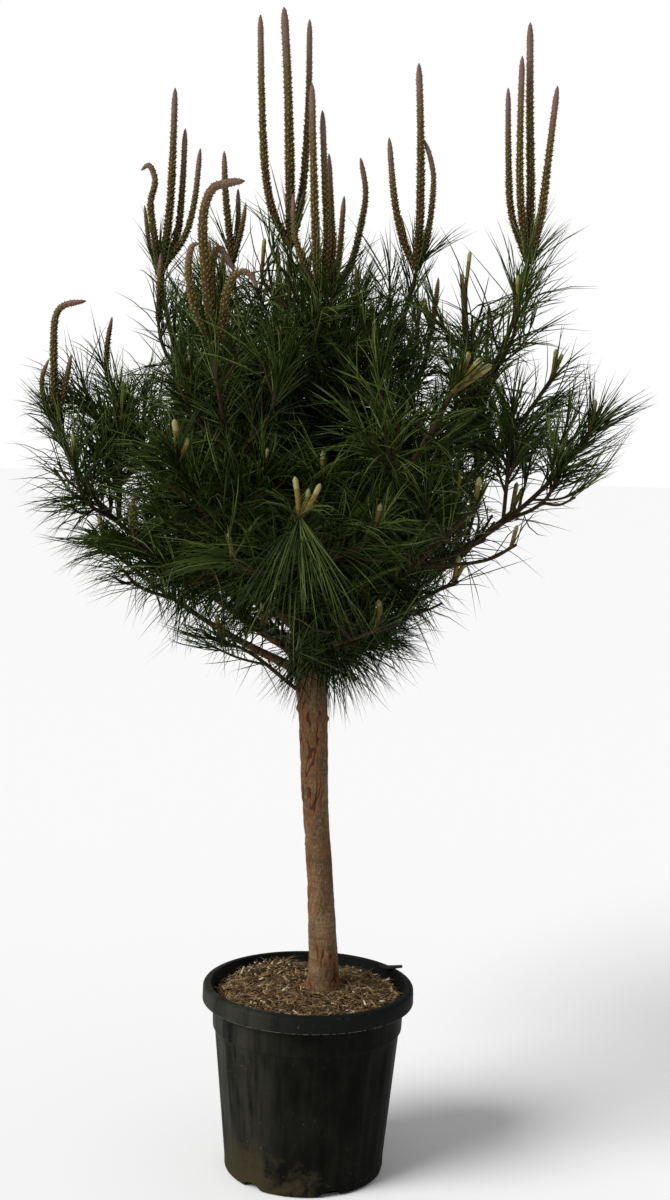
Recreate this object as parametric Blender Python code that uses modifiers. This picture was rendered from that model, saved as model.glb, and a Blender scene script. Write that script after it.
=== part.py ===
"""A young stone pine on a clear stem, in a ribbed nursery pot.

Units are metres, +Z is up, and the origin is the centre of the pot's underside.
The front of the plant faces -Y, and +X is to its right. The pot is a turned shell
filled with bark compost. The trunk stands on the compost and runs up through the
crown to its leader. Boughs leave it in whorls, and each carries a mass of foliage:
a leading shoot with side shoots, long needles, and the upright new candles of spring.
"""

import math
import random
from typing import NamedTuple

import bmesh
import bpy
import numpy as np
from mathutils import Matrix, Vector

UP = Vector((0.0, 0.0, 1.0))
GAP = 0.0003  # between pieces that touch
FAR = 9.0  # the distance to something that isn't there
SEED = 41

# The pot, a turned shell
POT_STEPS = 72
POT_HEIGHT = 0.380
RIM_RADIUS = 0.210
RIM_DEPTH = 0.034
RIM_ROUND = 0.006
RIM_OPENING = 0.1945
BAND_RADIUS = 0.190
BAND_DEPTH = 0.054
WALL_TOP_RADIUS = 0.1845
WALL_FOOT_RADIUS = 0.1605
FOOT_RADIUS = 0.151
FOOT_ROUND = 0.016
WALL = 0.004
FLUTES = 12
FLUTE_DEPTH = 0.0028
FLUTE_FOOT = 0.036
FLUTE_SHOULDER = 0.010
NOTCHES = 6
NOTCH_START = math.radians(-69.0)
NOTCH_WIDTH = 0.046
NOTCH_HEIGHT = 0.014
NOTCH_REACH = 0.020
NOTCH_OUT = 0.4  # share of its reach by which a notch's middle lies outside the foot's radius
NOTCH_SIDES = 12

# The compost: a flat seat round the trunk, falling to the wall
SOIL_SEAT = 0.3720
SOIL_SEAT_RADIUS = 0.095
SOIL_EDGE = 0.3560
SOIL_BEND = (0.78, 0.6)  # shares of the way out and down where its slope changes
SOIL_STEPS = 24

# The trunk's axis as height, x and y, and its radius by height
TRUNK_SIDES = 14
TRUNK_SAMPLES = 60
TRUNK_AXIS = (
    (0.3723, 0.030, -0.006),
    (0.440, 0.028, -0.006),
    (0.590, 0.017, -0.003),
    (0.760, 0.002, 0.002),
    (0.930, -0.006, 0.004),
    (1.060, -0.024, 0.002),
    (1.250, -0.042, -0.002),
    (1.450, -0.057, 0.000),
    (1.650, -0.072, 0.000),
)
TRUNK_RADII = (
    (0.3723, 0.0375),
    (0.392, 0.0325),
    (0.425, 0.0295),
    (0.520, 0.0268),
    (0.690, 0.0252),
    (0.860, 0.0278),
    (0.970, 0.0300),
    (1.080, 0.0285),
    (1.260, 0.0220),
    (1.460, 0.0150),
    (1.650, 0.0085),
)

# Boughs, as shares of a branch's length or of its root radius
BOUGH_SIDES = 6
BOUGH_STATIONS = 5
BOUGH_SHARE = 0.50
BOUGH_STEP = 0.01  # of a branch's curve, to measure how fast it runs
BOUGH_TIP = 0.52
COLLAR = (1.276, 1.16)  # swelling at the trunk's axis and at the next station
ROOT_OUT = 0.34
ROOT_UP = 0.20
TIP_EASE = 0.42

# Shoots: a slim core that the needles stand out of
SHOOT_SIDES = 4
SHOOT_STATIONS = ((0.0, 0.0055), (0.20, 0.0075), (0.55, 0.0200), (1.0, 0.0100))
CORE_RADIUS = 0.0200
LEADING_POINTS = 6
LEAST_STALK = 0.9  # of the limb that it goes on from
LATERAL_STALK = 0.005
LATERAL_START = 0.30
LATERAL_SIZES = (0.82, 1.08)
LATERAL_SKIP = 4  # samples at a lateral's root that may be near its own shoot
LATERAL_SHARE = (0.80, 0.55)  # of the leading shoot, on a level branch and on an upright one
LATERAL_SPREAD = math.radians(50.0)
LATERAL_CURL = 0.55
LATERAL_ROLLS = 12
LATERAL_REACH = 1.03  # beyond the leading shoot's own tip
LEAST_REACH = 0.25
LEAST_ROOM = 0.047  # between the axes of shoots in different masses

# The crown's underside, as distance from the crown's axis and the least height there
CROWN_CENTRE = 0.020
UNDERSIDE = (
    (0.00, 0.920),
    (0.12, 0.965),
    (0.22, 1.035),
    (0.30, 1.110),
    (0.38, 1.170),
    (0.45, 1.235),
    (0.51, 1.315),
    (0.56, 1.380),
    (0.60, 1.470),
)
UNDERSIDE_LEAN = 0.10  # how much it rises to the right
SHOOT_ABOVE = 0.030  # the least height of a side shoot's tip over it

# Needles: three-sided spikes, each standing for a tuft
NEEDLE_PITCH = 0.038
NEEDLE_LENGTH = 0.150
NEEDLE_WIDTH = 0.0125
NEEDLE_ZONE = (0.30, 1.0)
NEEDLE_SPREAD = (math.radians(62.0), math.radians(22.0))
NEEDLE_DROOP = 0.16
NEEDLE_SIZES = (0.90, 1.08)
NEEDLE_ROLL = 0.3
NEEDLE_CUTS = (1.0, 0.85, 0.72, 0.6)
NEEDLE_CHECKS = 8
LEAST_NEEDLE = 0.085
LEAST_COUNT = 4
GOLDEN_ANGLE = math.radians(137.508)

# Candles, the new shoots that stand on the tips of last year's
CANDLE_SIDES = 4
BUD_SIDES = 3
CANDLE_RADIUS = 0.0068
CANDLE_TAPER = 0.22
CANDLE_END = (0.006, 0.45)  # length and thickness of the rounded end
SHORT_CANDLE = 0.24  # one shorter than this is thinner
CANDLE_SUNK = 0.012
CANDLE_ROOM = 0.0285  # between a candle's axis and the shoots of other masses
LEAST_CANDLE = 0.035  # a shorter one is a bud, too small to model
SIDE_GIRTH = 0.9
SIDE_SIZES = (0.85, 1.10)
SIDE_LEAN = 0.12
SAMPLE_STEP = 0.018


class Candle(NamedTuple):
    """A candle's line as offsets from its shoot's tip, and how thick it is beside the others."""

    line: tuple
    girth: float = 1.0


def candle(*line, girth=1.0):
    """A candle through these points."""
    return Candle(line, girth)


class Branch(NamedTuple):
    """A branch from the trunk to the tip of its leading shoot."""

    name: str
    root: float  # height at which it leaves the trunk
    azimuth: float  # degrees: 0 is right, -90 front, 90 back
    reach: float  # from the trunk's axis to the tip
    tip: float  # height of the tip
    lift: float = 0.6  # 0 ends pointing outwards, 1 straight up
    girth: float = 0.0100  # radius where it leaves the trunk
    laterals: int = 2
    side_candle: float = 0.0  # length of the candle on each lateral


BOUGHS = (
    Branch("low_right", 1.045, 6, 0.430, 1.335, 0.48),
    Branch("low_right_front", 1.020, -26, 0.330, 1.205, 0.30),
    Branch("low_front", 1.055, -64, 0.330, 1.135, 0.25),
    Branch("low_left_front", 1.035, -145, 0.370, 1.270, 0.35),
    Branch("low_left", 1.000, 178, 0.390, 1.250, 0.45),
    Branch("low_back_left", 1.055, 140, 0.400, 1.200, 0.30),
    Branch("low_back", 1.035, 98, 0.400, 1.190, 0.30),
    Branch("low_back_right", 1.000, 52, 0.420, 1.230, 0.30),
    Branch("mid_right", 1.120, -6, 0.575, 1.500, 0.62, 0.0115, 3),
    Branch("mid_right_back", 1.180, 20, 0.565, 1.600, 0.60, 0.0110, 2),
    Branch("mid_back_right", 1.150, 66, 0.500, 1.450, 0.50, 0.0110, 2, 0.045),
    Branch("mid_back", 1.185, 104, 0.500, 1.500, 0.55, 0.0110, 2, 0.045),
    Branch("mid_left_back", 1.135, 146, 0.475, 1.590, 0.65, 0.0110, 2),
    Branch("mid_left", 1.100, -171, 0.455, 1.490, 0.80, 0.0115, 3, 0.060),
    Branch("mid_left_front", 1.075, -117, 0.430, 1.425, 0.50, 0.0110, 2, 0.040),
    Branch("mid_front", 1.120, -88, 0.430, 1.340, 0.45, 0.0110, 3, 0.040),
    Branch("mid_front_right", 1.083, -46, 0.470, 1.360, 0.45, 0.0110, 2, 0.040),
    Branch("high_right", 1.225, 0, 0.453, 1.815, 0.90, 0.0120, 3, 0.050),
    Branch("high_right_front", 1.197, -49, 0.449, 1.565, 0.60, 0.0115, 2),
    Branch("high_right_back", 1.255, 44, 0.400, 1.690, 0.80, 0.0110, 2, 0.050),
    Branch("high_back", 1.292, 96, 0.340, 1.730, 0.85, 0.0110, 2, 0.080),
    Branch("high_left", 1.220, 155, 0.290, 1.790, 0.90, 0.0120, 3, 0.110),
    Branch("high_left_front", 1.163, -114, 0.308, 1.635, 0.90, 0.0120, 2, 0.040),
)
SPRAYS = (
    Branch("low_front_left", 1.000, -108, 0.240, 1.115, 0.20, 0.0085, 1),
    Branch("low_near_left", 0.955, -140, 0.215, 1.080, 0.15, 0.0085, 1),
    Branch("low_near_back", 0.960, 75, 0.230, 1.090, 0.20, 0.0085, 1),
    Branch("top_front", 1.440, -66, 0.140, 1.735, 0.90, 0.0090, 2, 0.060),
    Branch("top_right", 1.400, 8, 0.246, 1.800, 0.88, 0.0095, 2, 0.080),
    Branch("top_back", 1.470, 60, 0.170, 1.755, 0.90, 0.0085, 1, 0.060),
    Branch("top_left", 1.420, 130, 0.190, 1.810, 0.90, 0.0090, 2, 0.080),
)
LEADER = Branch("leader", 1.650, 180, 0.002, 1.834, 1.00, 0.0085, 2, 0.050)

# The candles on each leading shoot, as points from the shoot's tip: long and upright on the high
# shoots, and some hooked over at the end
CANDLES = {
    "leader": (
        candle((-0.006, 0.0, 0.15), (-0.014, 0.0, 0.3), (-0.024, 0.0, 0.43), girth=1.35),
        candle((-0.034, 0.0, 0.05), (-0.052, 0.0, 0.13), (-0.062, 0.0, 0.27), (-0.068, 0.0, 0.415)),
        candle((0.014, 0.012, 0.05), (0.022, 0.024, 0.13), (0.026, 0.03, 0.27), (0.024, 0.03, 0.415)),
    ),
    "top_front": (
        candle((-0.01, -0.004, 0.1), (-0.018, -0.002, 0.24), (-0.024, 0.0, 0.37), girth=1.1),
        candle((0.012, 0.01, 0.08), (0.004, 0.014, 0.2), (-0.004, 0.016, 0.325)),
        candle((0.022, 0.02, 0.06), (0.018, 0.03, 0.14), (0.01, 0.032, 0.25), girth=0.9),
        candle((-0.03, 0.018, 0.05), (-0.048, 0.026, 0.1), (-0.054, 0.028, 0.175), girth=0.85),
    ),
    "top_right": (
        candle((0.0, 0.0, 0.1), (-0.004, 0.0, 0.24), (-0.012, 0.0, 0.375), girth=1.15),
        candle((-0.03, 0.0, 0.04), (-0.05, 0.0, 0.12), (-0.064, 0.0, 0.235)),
        candle(
            (0.016, 0.004, 0.05), (0.024, 0.004, 0.15), (0.016, 0.004, 0.2),
            (0.002, 0.004, 0.235), girth=0.85,
        ),
        candle((-0.022, 0.014, 0.03), (-0.036, 0.018, 0.09), girth=0.8),
    ),
    "top_back": (
        candle((0.006, 0.0, 0.07), (0.012, 0.0, 0.18), girth=0.9),
        candle((0.03, 0.0, 0.05), (0.048, 0.0, 0.13), (0.054, 0.0, 0.19), (0.042, 0.0, 0.255)),
    ),
    "top_left": (
        candle((-0.008, 0.0, 0.06), (-0.016, 0.0, 0.13), (-0.02, 0.0, 0.205)),
        candle((0.01, 0.014, 0.05), (0.008, 0.018, 0.135), girth=0.9),
        candle((0.018, -0.012, 0.05), (0.026, -0.014, 0.105), girth=0.85),
    ),
    "high_right": (
        candle((-0.002, 0.006, 0.12), (-0.01, 0.006, 0.28), (-0.016, 0.004, 0.435), girth=1.1),
        candle((-0.022, -0.014, 0.1), (-0.028, -0.014, 0.22), (-0.03, -0.014, 0.37)),
        candle((-0.036, 0.008, 0.08), (-0.046, 0.01, 0.18), (-0.052, 0.01, 0.315), girth=0.9),
        candle((0.018, 0.0, 0.07), (0.028, 0.0, 0.18), (0.04, 0.0, 0.32)),
    ),
    "high_right_front": (
        candle((0.01, 0.0, 0.03), (0.02, 0.0, 0.06), girth=1.5),
        candle((0.02, -0.014, 0.02), (0.042, -0.018, 0.05), girth=1.4),
        candle((0.03, 0.012, 0.015), (0.062, 0.014, 0.04), girth=1.3),
    ),
    "high_right_back": (
        candle((0.004, 0.0, 0.05), (0.008, 0.0, 0.1)),
        candle((-0.014, 0.01, 0.03), (-0.02, 0.014, 0.06)),
    ),
    "high_back": (
        candle((0.0, 0.0, 0.06), (-0.004, 0.0, 0.12)),
        candle((0.016, 0.01, 0.04), (0.022, 0.012, 0.085)),
    ),
    "high_left": (
        candle((0.012, 0.0, 0.05), (0.02, 0.0, 0.15), (0.024, 0.0, 0.34), girth=1.1),
        candle((0.03, 0.012, 0.05), (0.04, 0.014, 0.14), (0.044, 0.014, 0.265)),
        candle((0.046, -0.004, 0.05), (0.066, -0.006, 0.12), (0.076, -0.006, 0.225), girth=0.9),
        candle(
            (-0.01, 0.0, 0.045), (-0.02, 0.0, 0.115), (-0.012, 0.0, 0.16),
            (-0.024, 0.0, 0.19), (-0.04, 0.0, 0.18),
        ),
        candle((-0.022, 0.014, 0.04), (-0.034, 0.018, 0.115), girth=0.8),
    ),
    "high_left_front": (
        candle(
            (-0.012, 0.0, 0.08), (-0.024, 0.0, 0.195), (-0.012, 0.0, 0.255),
            (0.016, 0.0, 0.27), (0.048, 0.0, 0.275), girth=1.3,
        ),
        candle(
            (-0.024, 0.002, 0.03), (-0.042, 0.002, 0.08), (-0.048, 0.002, 0.125),
            (-0.042, 0.0, 0.16), (-0.028, 0.0, 0.165),
        ),
        candle(
            (-0.004, 0.018, 0.06), (-0.008, 0.024, 0.135), (0.004, 0.024, 0.16),
            (0.02, 0.024, 0.14), (0.032, 0.024, 0.12),
        ),
        candle(
            (0.016, -0.01, 0.03), (0.022, -0.012, 0.085), (0.038, -0.012, 0.115),
            (0.06, -0.012, 0.115), (0.076, -0.012, 0.09),
        ),
    ),
    "mid_left": (
        candle(
            (0.0, 0.0, 0.06), (-0.002, 0.0, 0.12), (0.0, 0.0, 0.18),
            (0.016, 0.0, 0.205), (0.058, 0.0, 0.215),
        ),
        candle((-0.02, 0.004, 0.03), (-0.024, 0.006, 0.07), (-0.012, 0.006, 0.105), girth=0.8),
        candle((0.018, 0.006, 0.05), (0.03, 0.008, 0.115), girth=0.9),
    ),
    "mid_left_back": (
        candle((0.008, 0.0, 0.05), (0.016, 0.0, 0.1)),
    ),
    "mid_back": (
        candle((0.0, 0.0, 0.06), (0.004, 0.004, 0.13)),
        candle((-0.016, 0.006, 0.04), (-0.022, 0.01, 0.08)),
    ),
    "mid_left_front": (
        candle((0.002, 0.0, 0.035), (-0.004, 0.0, 0.07), girth=1.2),
        candle((0.016, -0.006, 0.02), (0.02, -0.008, 0.04)),
    ),
    "mid_front": (
        candle((-0.004, 0.0, 0.03), (-0.01, 0.0, 0.065), girth=1.1),
        candle((0.01, 0.008, 0.02), (0.014, 0.01, 0.045)),
        candle((0.018, -0.008, 0.02), (0.034, -0.01, 0.055)),
    ),
    "low_left_front": (
        candle((0.004, 0.0, 0.045), (0.008, 0.0, 0.09)),
    ),
    "low_front": (
        candle((-0.002, 0.0, 0.025), (-0.006, 0.0, 0.05)),
    ),
}
# On the leading shoots that aren't named above
BUDS = (candle((0.0, 0.0, 0.05)), candle((0.014, 0.01, 0.04)))

# Colours, roughness
POT_FINISH = ((0.020, 0.021, 0.021), 0.55)
SOIL_FINISH = ((0.105, 0.070, 0.036), 0.95)
BARK_FINISH = ((0.210, 0.130, 0.075), 0.90)
FOLIAGE_FINISH = ((0.035, 0.075, 0.022), 0.60)


class Shoot(NamedTuple):
    """A leafy shoot: its mass, its points from base to tip, and its candles."""

    mass: str
    points: list
    candles: tuple


def trunk_point(z):
    """The trunk's axis at a height."""
    heights = [row[0] for row in TRUNK_AXIS]
    x = np.interp(z, heights, [row[1] for row in TRUNK_AXIS])
    y = np.interp(z, heights, [row[2] for row in TRUNK_AXIS])
    return Vector((float(x), float(y), z))


def trunk_radius(z):
    """The trunk's radius at a height."""
    return float(np.interp(z, *zip(*TRUNK_RADII)))


def branch_reach(point):
    """How far a point stands from the trunk's axis at its height."""
    return (point - trunk_point(point.z)).length


def above_underside(point):
    """How far a point stands above the crown's underside."""
    reach = math.hypot(point.x - CROWN_CENTRE, point.y)
    return point.z - float(np.interp(reach, *zip(*UNDERSIDE))) - UNDERSIDE_LEAN * point.x


def bezier(a, b, c, d, t):
    """A point at t on the cubic curve with these four control points."""
    s = 1.0 - t
    return s**3 * a + 3 * s * s * t * b + 3 * s * t * t * c + t**3 * d


def branch_curve(branch):
    """The four control points of a branch, from the trunk's axis to its tip."""
    angle = math.radians(branch.azimuth)
    out = Vector((math.cos(angle), math.sin(angle), 0.0))
    start = trunk_point(branch.root)
    end = trunk_point(branch.tip) + branch.reach * out
    chord = (end - start).length
    leaving = start + ROOT_OUT * branch.reach * out + ROOT_UP * (branch.tip - branch.root) * UP
    tip_way = ((1.0 - branch.lift) * out + branch.lift * UP).normalized()
    return start, leaving, end - TIP_EASE * chord * tip_way, end


def stretch(curve, first, last, count):
    """Points at even steps along a part of a branch's curve."""
    return [bezier(*curve, first + (last - first) * k / (count - 1)) for k in range(count)]


def along(points, share):
    """The point and direction at a share of a polyline's length."""
    steps = [(b - a).length for a, b in zip(points, points[1:])]
    left = share * sum(steps)
    for a, b, step in zip(points, points[1:], steps):
        if left <= step or b is points[-1]:
            return a.lerp(b, min(1.0, left / step)), (b - a).normalized()
        left -= step
    return points[-1].copy(), (points[-1] - points[-2]).normalized()


def sideways(way, roll):
    """A unit vector square to a direction, at a roll angle about it."""
    side = way.cross(UP)
    if side.length < 1e-3:
        side = Vector((1.0, 0.0, 0.0))
    return Matrix.Rotation(roll, 3, way) @ side.normalized()


def samples(points):
    """Points no more than SAMPLE_STEP apart along a polyline."""
    found = [points[0]]
    for a, b in zip(points, points[1:]):
        count = max(1, math.ceil((b - a).length / SAMPLE_STEP))
        found += [a.lerp(b, (k + 1) / count) for k in range(count)]
    return np.array(found)


def nearest(points, cloud):
    """For each point, its distance to the nearest point of a cloud."""
    if not len(cloud):
        return np.full(len(points), FAR)
    return np.linalg.norm(points[:, None] - cloud[None], axis=2).min(axis=1)


class Skeleton:
    """Where the limbs, shoots and candles run, before any of them has a surface."""

    def __init__(self):
        heights = np.linspace(TRUNK_AXIS[0][0], TRUNK_AXIS[-1][0], TRUNK_SAMPLES)
        self.limbs = [samples([trunk_point(z) for z in heights])]
        self.limb_radii = [np.array([trunk_radius(p[2]) for p in self.limbs[0]])]
        self.shoots = []
        self.clouds = {}
        self.candles = {}

    def add_bough(self, branch):
        """Keeps a bough's axis clear for the rule that no twig or needle touches a limb."""
        points = samples(stretch(branch_curve(branch), 0.0, BOUGH_SHARE, BOUGH_STATIONS))
        self.limbs.append(points)
        self.limb_radii.append(np.full(len(points), branch.girth))

    def add_shoot(self, branch, points, candles):
        """Takes in a shoot and the space it fills."""
        self.shoots.append(Shoot(branch.name, points, candles))
        self.claim(branch.name, samples(points))

    def claim(self, mass, cloud):
        """Adds points to a mass's own space."""
        held = self.clouds.get(mass)
        self.clouds[mass] = cloud if held is None else np.concatenate([held, cloud])

    def room_among_masses(self, mass, points):
        """For each point, how much nearer its own mass is than any other."""
        others = [cloud for name, cloud in self.clouds.items() if name != mass]
        return nearest(points, np.concatenate(others)) - nearest(points, self.clouds[mass])

    def clear_of_masses(self, mass, points):
        """The least distance from these points to the shoots of other masses."""
        others = [cloud for name, cloud in self.clouds.items() if name != mass]
        return nearest(points, np.concatenate(others)).min() if others else FAR

    def clear_of_limbs(self, points):
        """The least distance from these points to the surface of any limb."""
        cloud = np.concatenate(self.limbs)
        radii = np.concatenate(self.limb_radii)
        return (np.linalg.norm(points[:, None] - cloud[None], axis=2) - radii[None]).min()

    def grow_laterals(self, branch, leading, rng):
        """Side shoots from one ring on the leading shoot, each in the freest direction."""
        start, way = along(leading, LATERAL_START)
        share = LATERAL_SHARE[0] + (LATERAL_SHARE[1] - LATERAL_SHARE[0]) * branch.lift
        length = share * sum((b - a).length for a, b in zip(leading, leading[1:]))
        for _ in range(branch.laterals):
            first_roll = rng.uniform(0.0, math.tau)
            size = length * rng.uniform(*LATERAL_SIZES)
            tries = []
            for k in range(LATERAL_ROLLS):
                side = sideways(way, first_roll + k * math.tau / LATERAL_ROLLS)
                heading = math.cos(LATERAL_SPREAD) * way + math.sin(LATERAL_SPREAD) * side
                middle = start + 0.5 * size * heading
                bent = (heading.lerp(UP, LATERAL_CURL * branch.lift)).normalized()
                points = [start, start.lerp(middle, 0.5), middle, middle + 0.25 * size * (heading + bent) / 2]
                points.append(middle + 0.5 * size * bent)
                too_far = branch_reach(points[-1]) > max(LEAST_REACH, LATERAL_REACH * branch.reach)
                if too_far or above_underside(points[-1]) < SHOOT_ABOVE:
                    continue
                outer = samples(points)[LATERAL_SKIP:]
                own = nearest(outer, self.clouds[branch.name]).mean()
                room = min(self.clear_of_masses(branch.name, outer), own)
                if self.clear_of_limbs(outer) > CORE_RADIUS + GAP * 5:
                    tries.append((room, k, points))
            room, _, points = max(tries, default=(0.0, 0, None))
            if room > LEAST_ROOM:
                self.add_shoot(branch, points, side_candles(branch, rng))

    def grow_candles(self, shoots):
        """Candles in a tuft on each shoot's tip. One that would cross another mass is left off."""
        for shoot in shoots:
            tip, way = along(shoot.points, 1.0)
            for line, girth in shoot.candles:
                points = [tip - CANDLE_SUNK * way] + [tip + Vector(offset) for offset in line]
                cloud = samples(points)
                clear = self.clear_of_masses(shoot.mass, cloud)
                if clear > CANDLE_ROOM and self.clear_of_limbs(cloud) > CANDLE_RADIUS:
                    self.candles.setdefault(shoot.mass, []).append((points, girth))
                    self.claim(shoot.mass, cloud)


def side_candles(branch, rng):
    """The one candle on a lateral's tip, nearly upright, or none where it would be a mere bud."""
    length = branch.side_candle * rng.uniform(*SIDE_SIZES)
    if length < LEAST_CANDLE:
        return ()
    lean = SIDE_LEAN * length
    roll = rng.uniform(0.0, math.tau)
    return (candle((lean * math.cos(roll), lean * math.sin(roll), length), girth=SIDE_GIRTH),)


def grow():
    """The whole skeleton: every leading shoot and its candles first, then the laterals and theirs."""
    tree = Skeleton()
    rng = random.Random(SEED)
    leading = {}
    for branch in BOUGHS:
        tree.add_bough(branch)
    for branch in (*BOUGHS, *SPRAYS, LEADER):
        first = leading_start(branch)
        leading[branch.name] = stretch(branch_curve(branch), first, 1.0, LEADING_POINTS)
        tree.add_shoot(branch, leading[branch.name], CANDLES.get(branch.name, BUDS))
    tree.grow_candles(tree.shoots)
    first_lateral = len(tree.shoots)
    for branch in (*BOUGHS, *SPRAYS, LEADER):
        tree.grow_laterals(branch, leading[branch.name], rng)
    tree.grow_candles(tree.shoots[first_lateral:])
    return tree


def leading_start(branch):
    """The share of a branch's curve at which its leading shoot begins."""
    curve = branch_curve(branch)
    if branch in BOUGHS:
        step = (bezier(*curve, BOUGH_SHARE + BOUGH_STEP) - bezier(*curve, BOUGH_SHARE)).length
        return BOUGH_SHARE + BOUGH_STEP * GAP / step
    return GAP / (curve[3] - curve[0]).length if branch is LEADER else 0.0


def clear_scene():
    """Removes whatever the scene holds."""
    for obj in list(bpy.data.objects):
        bpy.data.objects.remove(obj, do_unlink=True)


def make_collection(name, shown=True):
    """A collection of the scene, hidden from renders if it only holds helpers."""
    collection = bpy.data.collections.new(name)
    bpy.context.scene.collection.children.link(collection)
    collection.hide_render = not shown
    return collection


def make_material(name, finish):
    """A plain Principled material with this colour and roughness."""
    material = bpy.data.materials.new(name)
    material.use_nodes = True
    shader = material.node_tree.nodes["Principled BSDF"]
    shader.inputs["Base Color"].default_value = (*finish[0], 1.0)
    shader.inputs["Roughness"].default_value = finish[1]
    return material


def add_object(name, mesh, collection, material=None):
    """Links a new object with this mesh into a collection."""
    obj = bpy.data.objects.new(name, mesh)
    collection.objects.link(obj)
    if material:
        mesh.materials.append(material)
    return obj


def finished(bm, name):
    """The bmesh as a mesh with its faces pointing out."""
    bmesh.ops.recalc_face_normals(bm, faces=bm.faces)
    mesh = bpy.data.meshes.new(name)
    bm.to_mesh(mesh)
    bm.free()
    return mesh


def ring_matrix(point, way, radius, side):
    """The placement of a unit ring: its centre, the way it faces and its radius."""
    turn = Matrix((side, way.cross(side), way)).transposed().to_4x4()
    return Matrix.Translation(point) @ turn @ Matrix.Diagonal((radius, radius, 1.0, 1.0))


def tube(stations, sides, name):
    """A closed tapering tube through stations of point, direction and radius."""
    bm = bmesh.new()
    ring = bmesh.ops.create_circle(bm, segments=sides, radius=1.0)["verts"]
    edges = bm.edges[:]
    side = sideways(stations[0][1], 0.0)
    placed = Matrix.Identity(4)
    for number, (point, way, radius) in enumerate(stations):
        if number:
            grown = bmesh.ops.extrude_edge_only(bm, edges=edges)["geom"]
            ring = [item for item in grown if isinstance(item, bmesh.types.BMVert)]
            edges = [edge for edge in bm.edges if all(vert in ring for vert in edge.verts)]
        side = (side - side.dot(way) * way).normalized()
        target = ring_matrix(point, way, radius, side)
        bmesh.ops.transform(bm, matrix=target @ placed.inverted(), verts=ring)
        placed = target
    bmesh.ops.holes_fill(bm, edges=bm.edges)
    return finished(bm, name)


def stations_of(points, radii, first_way=None, last_way=None):
    """Stations along a polyline, with the end faces turned to the ways given."""
    ways = []
    for k in range(len(points)):
        ways.append((points[min(k + 1, len(points) - 1)] - points[max(k - 1, 0)]).normalized())
    ways[0] = first_way or ways[0]
    ways[-1] = last_way or ways[-1]
    return list(zip(points, ways, radii))


def applied(obj):
    """Gives an object the mesh that its modifiers make."""
    graph = bpy.context.evaluated_depsgraph_get()
    mesh = bpy.data.meshes.new_from_object(obj.evaluated_get(graph))
    obj.modifiers.clear()
    obj.data = mesh
    return obj


def boolean(obj, operation, cutter, solver="EXACT"):
    """Adds a Boolean with an object or with a collection."""
    modifier = obj.modifiers.new(operation.lower(), "BOOLEAN")
    modifier.operation = operation
    modifier.solver = solver
    if isinstance(cutter, bpy.types.Collection):
        modifier.operand_type = "COLLECTION"
        modifier.collection = cutter
    else:
        modifier.object = cutter


def turned(name, profile, steps, collection, material):
    """A turned solid from its profile of radius and height."""
    mesh = bpy.data.meshes.new(name)
    mesh.from_pydata([(r, 0.0, z) for r, z in profile], [(k, k + 1) for k in range(len(profile) - 1)], [])
    obj = add_object(name, mesh, collection, material)
    screw = obj.modifiers.new("turn", "SCREW")
    screw.steps = screw.render_steps = steps
    screw.use_merge_vertices = True
    screw.merge_threshold = 0.00005
    return obj


def pot_profile():
    """Inner floor, inner wall, rolled rim, band and ribbed wall, down to the underside."""
    rim_foot = POT_HEIGHT - RIM_DEPTH
    band_foot = rim_foot - BAND_DEPTH
    return [
        (0.0, WALL),
        (FOOT_RADIUS - WALL / 4, WALL),
        (BAND_RADIUS - WALL, rim_foot),
        (RIM_OPENING, POT_HEIGHT),
        (RIM_RADIUS - 1.2 * RIM_ROUND, POT_HEIGHT),
        (RIM_RADIUS - 0.3 * RIM_ROUND, POT_HEIGHT - RIM_ROUND),
        (RIM_RADIUS, rim_foot + RIM_ROUND),
        (RIM_RADIUS - 0.5 * RIM_ROUND, rim_foot),
        (BAND_RADIUS, rim_foot),
        (BAND_RADIUS - 0.002, band_foot),
        (WALL_TOP_RADIUS, band_foot - 0.002),
        (WALL_TOP_RADIUS - 0.001, band_foot - FLUTE_SHOULDER),
        (WALL_FOOT_RADIUS, FLUTE_FOOT),
        (WALL_FOOT_RADIUS - 0.002, 0.6 * FOOT_ROUND),
        (FOOT_RADIUS, 0.0),
        (0.0, 0.0),
    ]


def press_flutes(mesh):
    """Presses the recessed panels into the wall: half of each flute's steps move in."""
    period = POT_STEPS // FLUTES
    rows = (FLUTE_FOOT, POT_HEIGHT - RIM_DEPTH - BAND_DEPTH - FLUTE_SHOULDER)
    outer = (WALL_FOOT_RADIUS, WALL_TOP_RADIUS - 0.001)
    for vert in mesh.vertices:
        radius = math.hypot(vert.co.x, vert.co.y)
        step = round(math.atan2(vert.co.y, vert.co.x) / math.tau * POT_STEPS) % period
        on_wall = any(abs(vert.co.z - z) < GAP and abs(radius - r) < GAP for z, r in zip(rows, outer))
        if on_wall and step >= period // 2:
            vert.co.xy *= 1.0 - FLUTE_DEPTH / radius


def notch_cutters(collection):
    """Round-topped drain notches through the foot of the wall."""
    for number in range(NOTCHES):
        angle = NOTCH_START + number * math.tau / NOTCHES
        bm = bmesh.new()
        bmesh.ops.create_cone(
            bm, cap_ends=True, segments=NOTCH_SIDES, radius1=1.0, radius2=1.0, depth=2 * NOTCH_REACH
        )
        bmesh.ops.scale(bm, vec=(NOTCH_HEIGHT, NOTCH_WIDTH / 2, 1.0), verts=bm.verts)
        cutter = add_object(f"notch_{number}", finished(bm, "notch"), collection)
        place = Matrix.Translation((FOOT_RADIUS + NOTCH_OUT * NOTCH_REACH, 0.0, 0.0))
        cutter.data.transform(Matrix.Rotation(angle, 4, "Z") @ place @ Matrix.Rotation(math.pi / 2, 4, "Y"))


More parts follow.
